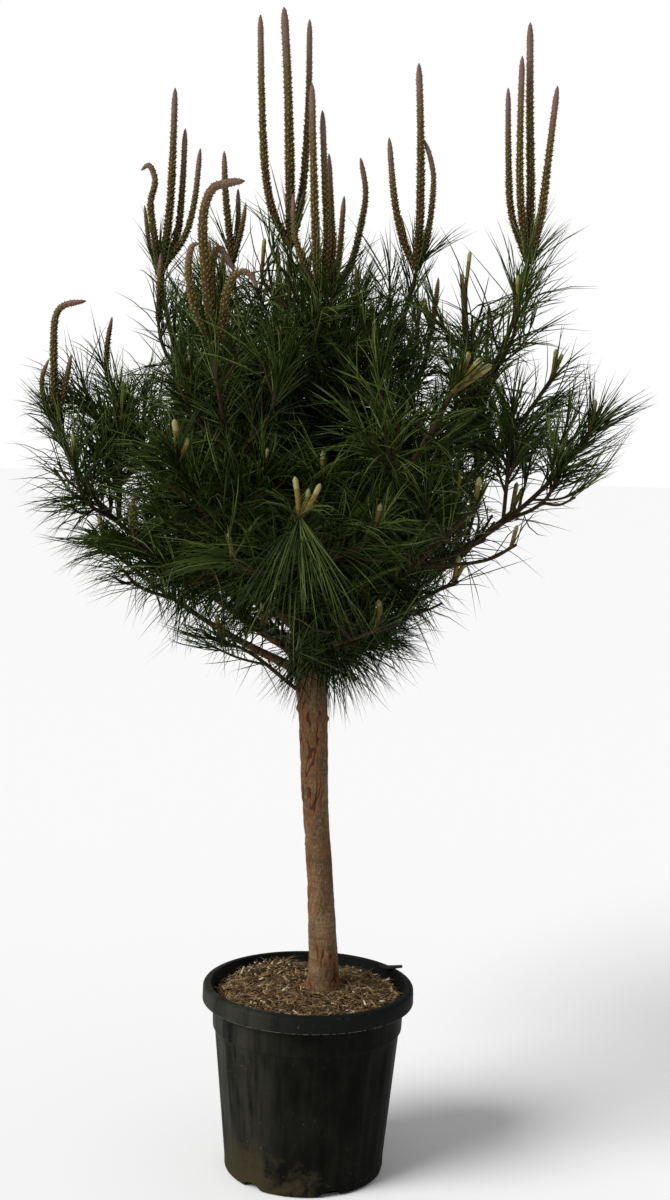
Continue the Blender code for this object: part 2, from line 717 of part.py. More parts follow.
def make_pot(parts, cutters, material):
    """The pot: turned, ribbed and notched."""
    pot = applied(turned("pot", pot_profile(), POT_STEPS, parts, material))
    press_flutes(pot.data)
    notch_cutters(cutters)
    boolean(pot, "DIFFERENCE", cutters)
    return applied(pot)


def make_soil(parts, material):
    """The compost, a GAP inside the pot's inner wall, with a level seat for the trunk."""
    (_, floor), (foot, _), (low, low_z), (top, top_z) = pot_profile()[:4]
    edge = low + (top - low) * (SOIL_EDGE - low_z) / (top_z - low_z)
    profile = [
        (0.0, SOIL_SEAT),
        (SOIL_SEAT_RADIUS, SOIL_SEAT),
        (SOIL_BEND[0] * edge, SOIL_SEAT + SOIL_BEND[1] * (SOIL_EDGE - SOIL_SEAT)),
        (min(edge, RIM_OPENING) - GAP, SOIL_EDGE),
        (low - GAP, low_z),
        (foot - 2 * GAP, floor + GAP),
        (0.0, floor + GAP),
    ]
    return turned("compost", profile, SOIL_STEPS, parts, material)


def make_trunk(parts, helpers, material):
    """The trunk, and a slightly wider copy that trims the limbs that meet it."""
    heights = {row[0] for row in (*TRUNK_AXIS, *TRUNK_RADII)}
    points = [trunk_point(z) for z in sorted(heights)]
    sleeve = GAP / math.cos(math.pi / TRUNK_SIDES)
    for name, swell, home in (("trunk", 0.0, parts), ("trunk_sleeve", sleeve, helpers)):
        radii = [trunk_radius(p.z) + swell for p in points]
        mesh = tube(stations_of(points, radii, UP, UP), TRUNK_SIDES, name)
        obj = add_object(name, mesh, home, material)
    return obj


def curve_way(curve, t):
    """The direction of a branch's curve at t."""
    return (bezier(*curve, min(1.0, t + BOUGH_STEP / 2)) - bezier(*curve, t - BOUGH_STEP / 2)).normalized()


def bough_tip_radius(branch):
    """A bough's radius where its mass of foliage takes over."""
    return branch.girth * BOUGH_TIP


def make_bough(branch, sleeve, parts, material):
    """One tapering limb, with a collar at its root, trimmed to the trunk's face."""
    curve = branch_curve(branch)
    points = stretch(curve, 0.0, BOUGH_SHARE, BOUGH_STATIONS)
    taper = np.linspace(branch.girth, bough_tip_radius(branch), BOUGH_STATIONS)
    taper[:2] *= COLLAR
    mesh = tube(stations_of(points, taper, last_way=curve_way(curve, BOUGH_SHARE)), BOUGH_SIDES, branch.name)
    bough = add_object(f"bough_{branch.name}", mesh, parts, material)
    boolean(bough, "DIFFERENCE", sleeve)
    return applied(bough)


def shoot_mesh(shoot, first_radius, first_way):
    """A shoot's core: a thin stalk that swells where the needles crowd."""
    shares, radii = zip(*SHOOT_STATIONS)
    placed = [along(shoot.points, share)[0] for share in shares]
    widths = [first_radius, max(radii[1], LEAST_STALK * first_radius), *radii[2:]]
    return tube(stations_of(placed, widths, first_way), SHOOT_SIDES, "shoot")


def needle_count(shoot):
    """How many needles a shoot carries, by its length."""
    length = sum((b - a).length for a, b in zip(shoot.points, shoot.points[1:]))
    return max(LEAST_COUNT, round(length * (NEEDLE_ZONE[1] - NEEDLE_ZONE[0]) / NEEDLE_PITCH))


def needle_line(shoot, number, count, rng):
    """The root and tip of one needle by the spiral rule: steep near the tip, drooping below."""
    share = (number + 0.5) / count
    low, high = NEEDLE_ZONE
    root, way = along(shoot.points, low + (high - low) * share)
    spread = NEEDLE_SPREAD[0] + (NEEDLE_SPREAD[1] - NEEDLE_SPREAD[0]) * share
    side = sideways(way, number * GOLDEN_ANGLE + rng.uniform(-NEEDLE_ROLL, NEEDLE_ROLL))
    heading = math.cos(spread) * way + math.sin(spread) * side
    heading = (heading - NEEDLE_DROOP * UP).normalized()
    return root, root + NEEDLE_LENGTH * rng.uniform(*NEEDLE_SIZES) * heading


def fitted_needle(tree, mass, root, tip):
    """The needle drawn back into its own space, or None if too little of it is left."""
    for share in NEEDLE_CUTS:
        end = root.lerp(tip, share)
        if (end - root).length < LEAST_NEEDLE:
            return None
        points = np.array([root.lerp(end, (k + 1) / NEEDLE_CHECKS) for k in range(NEEDLE_CHECKS)])
        width = NEEDLE_WIDTH * np.linspace(0.9, 0.1, NEEDLE_CHECKS) + 6 * GAP
        inside = (tree.room_among_masses(mass, points) > 2 * width).all()
        if inside and above_underside(end) > 0.0 and tree.clear_of_limbs(points[1:]) > NEEDLE_WIDTH:
            return end
    return None


def needle_mesh(root, tip):
    """A three-sided spike from the shoot's axis to the needle's tip."""
    bm = bmesh.new()
    way = (tip - root).normalized()
    bmesh.ops.create_cone(
        bm, cap_ends=True, segments=3, radius1=NEEDLE_WIDTH / 2, radius2=0.0, depth=(tip - root).length
    )
    turn = way.to_track_quat("Z", "Y").to_matrix().to_4x4()
    bmesh.ops.transform(bm, matrix=Matrix.Translation(root.lerp(tip, 0.5)) @ turn, verts=bm.verts)
    return finished(bm, "needle")


def candle_mesh(points, girth):
    """A candle: a slender rod with a blunt, rounded end."""
    length = sum((b - a).length for a, b in zip(points, points[1:]))
    thick = CANDLE_RADIUS * girth * min(1.0, 0.75 + 0.25 * length / SHORT_CANDLE)
    radii = [thick * (1.0 - CANDLE_TAPER * k / (len(points) - 1)) for k in range(len(points))]
    tip_way = (points[-1] - points[-2]).normalized()
    stations = stations_of(points, radii)
    stations.append((points[-1] + CANDLE_END[0] * tip_way, tip_way, CANDLE_END[1] * radii[-1]))
    return tube(stations, CANDLE_SIDES if len(points) > 2 else BUD_SIDES, "candle")


def keep_outer_shell(mesh):
    """Drops sealed hollows and loose scraps, keeping the largest closed shell."""
    bm = bmesh.new()
    bm.from_mesh(mesh)
    left = set(bm.faces)
    shells = []
    while left:
        shell, edge = set(), {left.pop()}
        while edge:
            shell |= edge
            linked = {f for face in edge for e in face.edges for f in e.link_faces}
            edge = linked - shell
        left -= shell
        shells.append(shell)
    largest = max(shells, key=len)
    bmesh.ops.delete(bm, geom=[f for shell in shells if shell is not largest for f in shell], context="FACES")
    bm.to_mesh(mesh)
    bm.free()


def make_mass(branch, tree, sleeve, parts, material):
    """One mass of foliage: its shoots, needles and candles joined into a single solid."""
    rng = random.Random(branch.name)
    group = bpy.data.collections.new(f"pieces_{branch.name}")
    curve = branch_curve(branch)
    on_bough = branch in BOUGHS
    radius = bough_tip_radius(branch) if on_bough else branch.girth
    shoots = [shoot for shoot in tree.shoots if shoot.mass == branch.name]
    first_way = curve_way(curve, leading_start(branch)) if on_bough else UP if branch is LEADER else None
    mass = add_object(f"foliage_{branch.name}", shoot_mesh(shoots[0], radius, first_way), parts, material)
    for shoot in shoots[1:]:
        add_object("shoot", shoot_mesh(shoot, LATERAL_STALK, None), group)
    for shoot in shoots:
        count = needle_count(shoot)
        for number in range(count):
            root, tip = needle_line(shoot, number, count, rng)
            end = fitted_needle(tree, branch.name, root, tip)
            if end:
                add_object("needle", needle_mesh(root, end), group)
    for points, girth in tree.candles.get(branch.name, []):
        add_object("candle", candle_mesh(points, girth), group)
    # The exact solver took minutes on some masses, and every piece here is a closed shell
    boolean(mass, "UNION", group, "MANIFOLD")
    if branch in SPRAYS:
        boolean(mass, "DIFFERENCE", sleeve, "MANIFOLD")
    applied(mass)
    keep_outer_shell(mass.data)
    for piece in list(group.objects):
        bpy.data.objects.remove(piece, do_unlink=True)
    bpy.data.collections.remove(group)
    return mass


def main():
    """Builds the pot, the compost, the trunk, the boughs and the masses of foliage."""
    clear_scene()
    parts = make_collection("stone_pine")
    cutters = make_collection("drain_notches", shown=False)
    helpers = make_collection("helpers", shown=False)
    bark = make_material("bark", BARK_FINISH)
    foliage = make_material("foliage", FOLIAGE_FINISH)
    make_pot(parts, cutters, make_material("pot_plastic", POT_FINISH))
    make_soil(parts, make_material("compost", SOIL_FINISH))
    sleeve = make_trunk(parts, helpers, bark)
    tree = grow()
    for branch in BOUGHS:
        make_bough(branch, sleeve, parts, bark)
    for branch in (*BOUGHS, *SPRAYS, LEADER):
        make_mass(branch, tree, sleeve, parts, foliage)
    for helper in (*cutters.objects, *helpers.objects):
        helper.hide_render = True
        helper.display_type = "WIRE"


main()
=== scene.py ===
"""Looks of the potted stone pine.

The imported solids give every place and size. This script dresses them: a moulded and weathered
pot, bark compost of loose chips and fibres, a stem and boughs with the bark's relief, and a crown
of needles and candles that grow by the same rule as the solids, carried on to finer twigs.
Units are metres, +Z is up, and the front of the plant faces -Y.
"""

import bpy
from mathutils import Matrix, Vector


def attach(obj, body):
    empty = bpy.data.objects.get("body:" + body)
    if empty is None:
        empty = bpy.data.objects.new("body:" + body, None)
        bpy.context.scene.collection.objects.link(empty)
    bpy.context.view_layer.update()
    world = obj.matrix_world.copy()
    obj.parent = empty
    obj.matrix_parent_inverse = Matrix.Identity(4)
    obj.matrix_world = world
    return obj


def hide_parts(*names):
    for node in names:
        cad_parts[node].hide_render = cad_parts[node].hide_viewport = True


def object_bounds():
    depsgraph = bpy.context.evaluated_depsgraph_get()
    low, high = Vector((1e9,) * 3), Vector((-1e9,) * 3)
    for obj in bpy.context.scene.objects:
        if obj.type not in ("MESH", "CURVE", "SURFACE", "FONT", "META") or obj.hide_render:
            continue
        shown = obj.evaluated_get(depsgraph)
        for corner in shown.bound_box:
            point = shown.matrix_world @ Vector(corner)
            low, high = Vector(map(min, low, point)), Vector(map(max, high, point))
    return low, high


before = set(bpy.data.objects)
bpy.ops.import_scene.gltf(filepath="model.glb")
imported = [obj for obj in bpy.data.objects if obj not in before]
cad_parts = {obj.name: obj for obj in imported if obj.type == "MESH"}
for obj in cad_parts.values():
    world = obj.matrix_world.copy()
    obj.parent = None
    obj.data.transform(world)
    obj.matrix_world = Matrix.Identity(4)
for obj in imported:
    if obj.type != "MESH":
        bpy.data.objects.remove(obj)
SOLID_BOX = [list(corner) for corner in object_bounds()]

import logging
import math
import random
from dataclasses import dataclass, field
from enum import Enum
from typing import NamedTuple

import bmesh
import bpy
import numpy as np
from mathutils import Matrix, Vector, noise
from mathutils.kdtree import KDTree

LOG = logging.getLogger("stone_pine")
UP = Vector((0.0, 0.0, 1.0))
BODY = "root"
MOST_TRIANGLES = 190_000  # in one piece
GOLDEN_ANGLE = math.radians(137.508)
FAR = 9.0  # the distance to something that isn't there

CAMERA_AT = (0.0305, -3.5, 1.5458)

Triple = tuple[float, float, float]
Colour = tuple[float, float, float]
Span = tuple[float, float]
Rows = tuple[tuple[float, float], ...]
Path = list[Vector]
Tube = tuple[Path, np.ndarray]  # an axis, and the radius at each of its points
Curve = tuple[Vector, Vector, Vector, Vector]
Arrays = tuple[np.ndarray, np.ndarray]  # points and triangles


# Shaders


class Value:
    """A shader socket that takes Python's arithmetic, by adding Math nodes."""

    def __init__(self, shader: "Shader", socket: bpy.types.NodeSocket) -> None:
        """Wraps a socket.

        Args:
            shader: the material that the socket belongs to.
            socket: the output that this value reads.
        """
        self.shader = shader
        self.socket = socket

    def __add__(self, other: "Value | float") -> "Value":
        """Adds."""
        return self.shader.math("ADD", self, other)

    def __radd__(self, other: float) -> "Value":
        """Adds, with the number first."""
        return self.shader.math("ADD", other, self)

    def __mul__(self, other: "Value | float") -> "Value":
        """Multiplies."""
        return self.shader.math("MULTIPLY", self, other)

    def __rmul__(self, other: float) -> "Value":
        """Multiplies, with the number first."""
        return self.shader.math("MULTIPLY", other, self)


class Shader:
    """One material and the nodes that feed its surface."""

    def __init__(self, name: str, roughness: float, specular: float) -> None:
        """Makes the material.

        Args:
            name: the material's name.
            roughness: roughness where nothing varies it.
            specular: the specular level, the same all over.
        """
        self.material = bpy.data.materials.new(name)
        self.material.use_nodes = True
        self.tree = self.material.node_tree
        self.surface = self.tree.nodes["Principled BSDF"]
        self.feed(self.surface.inputs["Roughness"], roughness)
        self.feed(self.surface.inputs["Specular IOR Level"], specular)

    def feed(self, socket: bpy.types.NodeSocket, value: object) -> None:
        """Links a value to a socket, or sets the socket's own number or colour."""
        if isinstance(value, Value):
            self.tree.links.new(value.socket, socket)
        else:
            socket.default_value = (*value, 1.0) if socket.type == "RGBA" and len(value) == 3 else value

    def node(self, kind: str, settings: dict | None = None, sockets: dict | None = None) -> bpy.types.Node:
        """Adds a node.

        Args:
            kind: the node's type.
            settings: its properties. The stops of a ramp are (place, colour) pairs.
            sockets: values or links for its inputs, by name or number.

        Returns:
            The new node.
        """
        made = self.tree.nodes.new(kind)
        for key, value in (settings or {}).items():
            if key == "stops":
                self.set_stops(made.color_ramp, value)
            else:
                setattr(made, key, value)
        for key, value in (sockets or {}).items():
            self.feed(made.inputs[key], value)
        return made

    @staticmethod
    def set_stops(ramp: bpy.types.ColorRamp, stops: list[tuple[float, Colour]]) -> None:
        """Gives a ramp these stops."""
        while len(ramp.elements) < len(stops):
            ramp.elements.new(0.5)
        for element, (place, colour) in zip(ramp.elements, stops):
            element.position = place
            element.color = (*colour, 1.0)

    def math(self, operation: str, first: Value | float, second: Value | float) -> Value:
        """A Math node's result."""
        made = self.node("ShaderNodeMath", {"operation": operation}, {0: first, 1: second})
        return Value(self, made.outputs[0])

    def place(self) -> Value:
        """The point on the object, in metres."""
        return Value(self, self.node("ShaderNodeTexCoord").outputs["Object"])

    def height(self) -> Value:
        """The point's height above the floor."""
        made = self.node("ShaderNodeSeparateXYZ", sockets={0: self.place()})
        return Value(self, made.outputs["Z"])

    def side(self, direction: Triple) -> Value:
        """How far the point lies towards a direction, in metres."""
        sockets = {0: self.place(), 1: direction}
        made = self.node("ShaderNodeVectorMath", {"operation": "DOT_PRODUCT"}, sockets)
        return Value(self, made.outputs["Value"])

    def attribute(self, name: str) -> Value:
        """A number that the mesh holds for each of its points."""
        return Value(self, self.node("ShaderNodeAttribute", {"attribute_name": name}).outputs["Fac"])

    def stretched(self, scale: Triple) -> Value:
        """The point on the object with each axis scaled, so that a pattern runs long or short there."""
        made = self.node("ShaderNodeMapping", sockets={"Vector": self.place(), "Scale": scale})
        return Value(self, made.outputs[0])

    def noise(self, scale: float, detail: float, roughness: float, at: Value | None = None) -> Value:
        """Smooth noise between 0 and 1.

        Args:
            scale: features to the metre.
            detail: octaves.
            roughness: how strong the finer octaves are.
            at: where to read it, if not at the point on the object.

        Returns:
            The noise's value.
        """
        sockets = {"Vector": at or self.place(), "Scale": scale, "Detail": detail, "Roughness": roughness}
        return Value(self, self.node("ShaderNodeTexNoise", sockets=sockets).outputs[0])

    def spots(self, scale: float, size: float, core: float = 0.7) -> Value:
        """Small round spots: 1 in the core of a spot, a share of its size, and 0 off it."""
        cells = self.node("ShaderNodeTexVoronoi", sockets={"Vector": self.place(), "Scale": scale})
        return self.step(Value(self, cells.outputs["Distance"]), size, core * size)

    def step(self, value: Value, low: float, high: float) -> Value:
        """A value's smooth way from 0 at low to 1 at high, which may be the lower of the two."""
        settings = {"interpolation_type": "SMOOTHSTEP", "clamp": True}
        flipped = high < low
        sockets = {"Value": value, "From Min": min(low, high), "From Max": max(low, high)}
        sockets |= {"To Min": float(flipped), "To Max": float(not flipped)}
        return Value(self, self.node("ShaderNodeMapRange", settings, sockets).outputs[0])

    def ramp(self, value: Value, stops: list[tuple[float, Colour]]) -> Value:
        """The colour that a value stands for."""
        return Value(self, self.node("ShaderNodeValToRGB", {"stops": stops}, {0: value}).outputs[0])

    def mix(self, factor: Value | float, first: object, second: object) -> Value:
        """Two colours mixed."""
        made = self.node("ShaderNodeMix", {"data_type": "RGBA"}, {0: factor, 6: first, 7: second})
        return Value(self, made.outputs[2])

    def colour(self, value: object) -> None:
        """Sets the surface's base colour."""
        self.feed(self.surface.inputs["Base Color"], value)

    def roughness(self, value: Value) -> None:
        """Sets the surface's varying roughness."""
        self.feed(self.surface.inputs["Roughness"], value)

    def bump(self, height: Value, distance: float, strength: float) -> None:
        """Raises the surface by a height between 0 and 1 times a distance in metres."""
        sockets = {"Height": height, "Distance": distance, "Strength": strength}
        made = self.node("ShaderNodeBump", sockets=sockets)
        self.tree.links.new(made.outputs[0], self.surface.inputs["Normal"])


@dataclass(frozen=True)
class PlainFinish:
    """One plain colour, for a joined piece of many small things."""

    name: str
    tint: Colour
    roughness: float = 0.5
    specular: float = 0.4

    def material(self) -> bpy.types.Material:
        """The finish as a material."""
        shader = Shader(self.name, self.roughness, self.specular)
        shader.colour(self.tint)
        return shader.material


@dataclass(frozen=True)
class MouldedPlastic:
    """Black pot plastic with dust, streaked, stained with soil and algae low down, grey on the rim, and paler
    to the left front, partly a dust film and partly painted sheen.

    A noise is its features to the metre, its octaves and its roughness. A span is where a pattern
    goes from nothing to full strength, and a share is the strength that it then has.
    """

    name: str = "pot_plastic"
    fresh: Colour = (0.0036, 0.0038, 0.0030)
    worn: Colour = (0.0095, 0.0095, 0.0074)
    film_and_sheen: Colour = (0.050, 0.048, 0.036)
    rim: Colour = (0.0085, 0.0095, 0.0085)
    soil: Colour = (0.034, 0.028, 0.014)
    speck: Colour = (0.22, 0.22, 0.19)
    specular: float = 0.02
    rim_foot: float = 0.346
    streaks: Triple = (38.0, 4.0, 0.6)
    streak_stretch: Triple = (1.0, 1.0, 0.10)
    clouds: Triple = (11.0, 5.0, 0.62)
    wear_mix: Span = (0.6, 0.5)
    wear_span: Span = (0.42, 0.72)
    rim_span: Span = (-0.001, 0.003)
    left_way: Triple = (-1.0, -0.25, 0.0)
    left_span: Span = (-0.02, 0.16)
    # A pale film to the left front, masked by streaks: partly dust, partly painted sheen where the light
    # falls.
    film_and_sheen_way: Triple = (-0.95, -0.30, 0.0)
    film_and_sheen_span: Span = (0.06, 0.19)
    film_and_sheen_streaks: Span = (0.30, 0.62)
    film_and_sheen_share: float = 0.50
    low_span: Span = (0.20, 0.01)
    stains: Triple = (23.0, 6.0, 0.66)
    stain_left: float = 0.34
    stain_low: float = 0.16
    stain_span: Span = (0.70, 0.92)
    dust: Triple = (150.0, 4.0, 0.7)
    dust_span: Span = (0.60, 0.78)
    dust_clouds: Span = (0.40, 0.62)
    dust_share: float = 0.28
    spots: Span = (70.0, 0.055)
    spot_clouds: Span = (0.52, 0.60)
    edge_foot: Span = (-0.0004, 0.0002)
    edge_top: Span = (0.0022, 0.0012)
    ragged: Triple = (120.0, 2.0, 0.5)
    ragged_span: Span = (0.40, 0.56)
    edge_share: float = 0.55
    roughness: Triple = (0.36, 0.26, 0.22)  # plain, and more on the clouds and on the stains
    grain: Triple = (900.0, 2.0, 0.5)
    grain_mix: Span = (0.35, 0.65)
    bump: Span = (0.0006, 0.6)

    def near_rim(self, shader: Shader, height: Value, span: Span) -> Value:
        """A pattern that starts and ends this far above the rim's lower edge."""
        return shader.step(height, self.rim_foot + span[0], self.rim_foot + span[1])

    def material(self) -> bpy.types.Material:
        """The finish as a material."""
        shader = Shader(self.name, 0.5, self.specular)
        height = shader.height()
        streaks = shader.noise(*self.streaks, shader.stretched(self.streak_stretch))
        clouds = shader.noise(*self.clouds)
        wear = shader.step(streaks * self.wear_mix[0] + clouds * self.wear_mix[1], *self.wear_span)
        colour = shader.mix(wear, self.fresh, self.worn)
        colour = shader.mix(self.near_rim(shader, height, self.rim_span), colour, self.rim)
        left = shader.step(shader.side(self.left_way), *self.left_span)
        # Paler to the left front: a dust film that also carries painted sheen on the lit side.
        dust_and_sheen = shader.step(shader.side(self.film_and_sheen_way), *self.film_and_sheen_span)
        dust_and_sheen = dust_and_sheen * shader.step(streaks, *self.film_and_sheen_streaks)
        colour = shader.mix(dust_and_sheen * self.film_and_sheen_share, colour, self.film_and_sheen)
        low = shader.step(height, *self.low_span)
        stain = shader.noise(*self.stains) + self.stain_left * low * left + self.stain_low * low
        stain = shader.step(stain, *self.stain_span)
        colour = shader.mix(stain * low, colour, self.soil)
        dust = shader.step(shader.noise(*self.dust), *self.dust_span) * shader.step(clouds, *self.dust_clouds)
        colour = shader.mix(dust * self.dust_share, colour, self.speck)
        spots = shader.spots(*self.spots) * shader.step(clouds, *self.spot_clouds)
        colour = shader.mix(spots, colour, self.speck)
        edge = self.near_rim(shader, height, self.edge_foot) * self.near_rim(shader, height, self.edge_top)
        edge = edge * shader.step(shader.noise(*self.ragged), *self.ragged_span)
        colour = shader.mix(edge * self.edge_share, colour, self.speck)
        shader.colour(colour)
        plain, cloudy, stained = self.roughness
        shader.roughness(plain + cloudy * clouds + stained * stain)
        grain = shader.noise(*self.grain) * self.grain_mix[0] + streaks * self.grain_mix[1]
        shader.bump(grain, *self.bump)
        return shader.material


@dataclass(frozen=True)
class PineBark:
    """Grey-brown bark in long plates, with red-orange fissures where it splits and painted shade, near-black,
    deep inside them.

    Noises, spans and shares are as in MouldedPlastic. A stretch is how each axis scales a noise.
    """

    name: str
    plate: Colour = (0.120, 0.076, 0.034)
    pale: Colour = (0.195, 0.135, 0.070)
    shade: Colour = (0.066, 0.039, 0.018)
    rust: Colour = (0.175, 0.060, 0.017)
    crack_shade: Colour = (0.030, 0.013, 0.006)
    rusty: float = 0.30
    clouds: Triple = (26.0, 4.0, 0.6)
    cloud_stretch: Triple = (1.0, 1.0, 0.45)
    fine: Triple = (260.0, 5.0, 0.65)
    fine_stretch: Triple = (1.0, 1.0, 0.6)
    rings: Triple = (190.0, 3.0, 0.6)
    ring_stretch: Triple = (0.08, 0.08, 1.0)
    stops: Triple = (0.41, 0.50, 0.59)
    ring_span: Span = (0.50, 0.60)
    ring_shade_share: float = 0.50
    flakes: Triple = (60.0, 4.0, 0.65)
    flake_stretch: Triple = (1.0, 1.0, 0.30)
    flake_span: Span = (0.50, 0.62)
    rust_fine: float = 0.3
    rust_span: Span = (0.26, 0.66)
    crack_shade_span: Span = (0.52, 0.82)
    deep_share: float = 0.90
    bump_mix: Span = (0.6, 0.4)
    bump: Span = (0.0028, 1.0)

    def material(self) -> bpy.types.Material:
        """The finish as a material. It reads the mesh's own number for how deep a point lies in a fissure."""
        shader = Shader(self.name, 0.85, 0.25)
        depth = shader.attribute("fissure")
        clouds = shader.noise(*self.clouds, shader.stretched(self.cloud_stretch))
        fine = shader.noise(*self.fine, shader.stretched(self.fine_stretch))
        rings = shader.noise(*self.rings, shader.stretched(self.ring_stretch))
        flakes = shader.noise(*self.flakes, shader.stretched(self.flake_stretch))
        stops = list(zip(self.stops, (self.shade, self.plate, self.pale)))
        colour = shader.ramp(clouds * 0.5 + fine * 0.5, stops)
        # The fine horizontal wrinkles are darkened with the shade colour: painted shade in their creases.
        colour = shader.mix(shader.step(rings, *self.ring_span) * self.ring_shade_share, colour, self.shade)
        colour = shader.mix(shader.step(flakes, *self.flake_span) * self.rusty, colour, self.rust)
        rust = shader.step(depth + fine * self.rust_fine, *self.rust_span)
        colour = shader.mix(rust * self.deep_share, colour, self.rust)
        # The deepest part of each fissure is painted near-black: painted shade.
        colour = shader.mix(shader.step(depth, *self.crack_shade_span) * self.deep_share, colour, self.crack_shade)
        shader.colour(colour)
        shader.bump(fine * self.bump_mix[0] + rings * self.bump_mix[1], *self.bump)
        return shader.material


@dataclass(frozen=True)
class DarkCompost:
    """The bed under the loose chips: dark, crumbly and dull. Noises are as in MouldedPlastic."""

    name: str = "compost_bed"
    dark: Colour = (0.012, 0.007, 0.004)
    brown: Colour = (0.085, 0.050, 0.024)
    tan: Colour = (0.20, 0.135, 0.066)
    crumbs: Triple = (220.0, 6.0, 0.7)
    clouds: Triple = (40.0, 3.0, 0.5)
    mixed: Span = (0.7, 0.3)
    stops: Triple = (0.38, 0.50, 0.64)
    bump: Span = (0.004, 1.0)

    def material(self) -> bpy.types.Material:
        """The finish as a material."""
        shader = Shader(self.name, 0.95, 0.15)
        crumbs = shader.noise(*self.crumbs)
        mixed = crumbs * self.mixed[0] + shader.noise(*self.clouds) * self.mixed[1]
        shader.colour(shader.ramp(mixed, list(zip(self.stops, (self.dark, self.brown, self.tan)))))
        shader.bump(crumbs, *self.bump)
        return shader.material


# Meshes


def mesh_of(name: str, points: np.ndarray, triangles: np.ndarray) -> bpy.types.Mesh:
    """A mesh of many small things from arrays.

    Args:
        name: the mesh's name.
        points: its points, one row each.
        triangles: its faces, three point numbers each.

    Returns:
        The mesh, shaded smooth.
    """
    mesh = bpy.data.meshes.new(name)
    mesh.vertices.add(len(points))
    mesh.vertices.foreach_set("co", points.astype(np.float32).ravel())
    mesh.loops.add(triangles.size)
    mesh.loops.foreach_set("vertex_index", triangles.astype(np.int32).ravel())
    mesh.polygons.add(len(triangles))
    mesh.polygons.foreach_set("loop_start", np.arange(0, triangles.size, 3, dtype=np.int32))
    mesh.update(calc_edges=True)
    mesh.shade_smooth()
    return mesh


def linked(name: str, data: bpy.types.ID) -> bpy.types.Object:
    """A new object of the scene that shows this data."""
    thing = bpy.data.objects.new(name, data)
    bpy.context.scene.collection.objects.link(thing)
    return thing


def repeated(faces: list | np.ndarray, count: int, per: int) -> np.ndarray:
    """The triangles of many things alike, each with this many points."""
    return (np.arange(count)[:, None, None] * per + np.array(faces)[None]).reshape(-1, 3)


def add_piece(
    name: str, mesh: bpy.types.Mesh, material: bpy.types.Material, nodes: list[str] | None = None
) -> bpy.types.Object:
    """Links a finished piece, lets it ride on the body and hides the solids that it replaces.

    Args:
        name: the piece's name.
        mesh: its mesh, in place.
        material: its finish.
        nodes: the solids that it replaces.

    Returns:
        The new object.
    """
    mesh.materials.clear()
    mesh.materials.append(material)
    piece = linked(name, mesh)
    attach(piece, BODY)
    if nodes:
        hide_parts(*nodes)
    LOG.info("%s: %d faces", name, len(mesh.polygons))
    return piece


def nodes_named(start: str) -> list[str]:
    """The solids whose names start with a word."""
    return sorted(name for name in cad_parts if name.startswith(start))


@dataclass
class Strands:
    """Many thin tapering strands, such as needles or fibres, each a closed three-sided solid."""

    roots: np.ndarray
    ways: np.ndarray
    bends: np.ndarray
    lengths: np.ndarray
    widths: np.ndarray
    profile: tuple[float, ...] = (0.80, 1.0, 0.72)

    def arrays(self) -> Arrays:
        """The points and triangles of all the strands.

        Returns:
            Points and triangles.
        """
        count, rings = len(self.roots), len(self.profile)
        shares = np.linspace(0.0, 1.0, rings + 1)
        centres = np.stack([self.at(share) for share in shares], axis=1)
        level = np.abs(self.ways[:, 2:3]) < 0.9
        side = np.cross(self.ways, np.where(level, [[0.0, 0.0, 1.0]], [[1.0, 0.0, 0.0]]))
        side /= np.linalg.norm(side, axis=1, keepdims=True)
        other = np.cross(self.ways, side)
        corners = []
        for k, share in enumerate(self.profile):
            radius = (self.widths / 2 * share)[:, None]
            for turn in range(3):
                angle = math.tau * turn / 3
                corners.append(centres[:, k] + radius * (math.cos(angle) * side + math.sin(angle) * other))
        points = np.concatenate([np.stack(corners, axis=1), centres[:, -1:]], axis=1)
        faces = [(0, 2, 1)]
        for k in range(rings - 1):
            for turn in range(3):
                a, b = 3 * k + turn, 3 * k + (turn + 1) % 3
                faces += [(a, b, b + 3), (a, b + 3, a + 3)]
        last = 3 * (rings - 1)
        faces += [(last + turn, last + (turn + 1) % 3, 3 * rings) for turn in range(3)]
        return points.reshape(-1, 3), repeated(faces, count, 3 * rings + 1)

    def at(self, share: float) -> np.ndarray:
        """The strands' centre points at a share of their length."""
        lengths = self.lengths[:, None]
        return self.roots + lengths * (share * self.ways + share * share * self.bends)

    def chosen(self, which: np.ndarray) -> "Strands":
        """Some of the strands."""
        picked = (array[which] for array in (self.roots, self.ways, self.bends, self.lengths, self.widths))
        return Strands(*picked, self.profile)


def unit(vectors: np.ndarray) -> np.ndarray:
    """Vectors brought to length 1."""
    return vectors / np.linalg.norm(vectors, axis=-1, keepdims=True)


def smooth_path(points: Path, step: float) -> Path:
    """A smooth curve through points.

    Args:
        points: the points that it goes through.
        step: the most that its own points lie apart.

    Returns:
        The curve's points.
    """
    ends = [2 * points[0] - points[1], *points, 2 * points[-1] - points[-2]]
    found = [points[0]]
    for a, b, c, d in zip(ends, ends[1:], ends[2:], ends[3:]):
        count = max(1, math.ceil((c - b).length / step))
        for k in range(1, count + 1):
            t = k / count
            linear, square = (c - a) * t, (2 * a - 5 * b + 4 * c - d) * t * t
            found.append(0.5 * (2 * b + linear + square + (3 * b - a - 3 * c + d) * t**3))
    return found


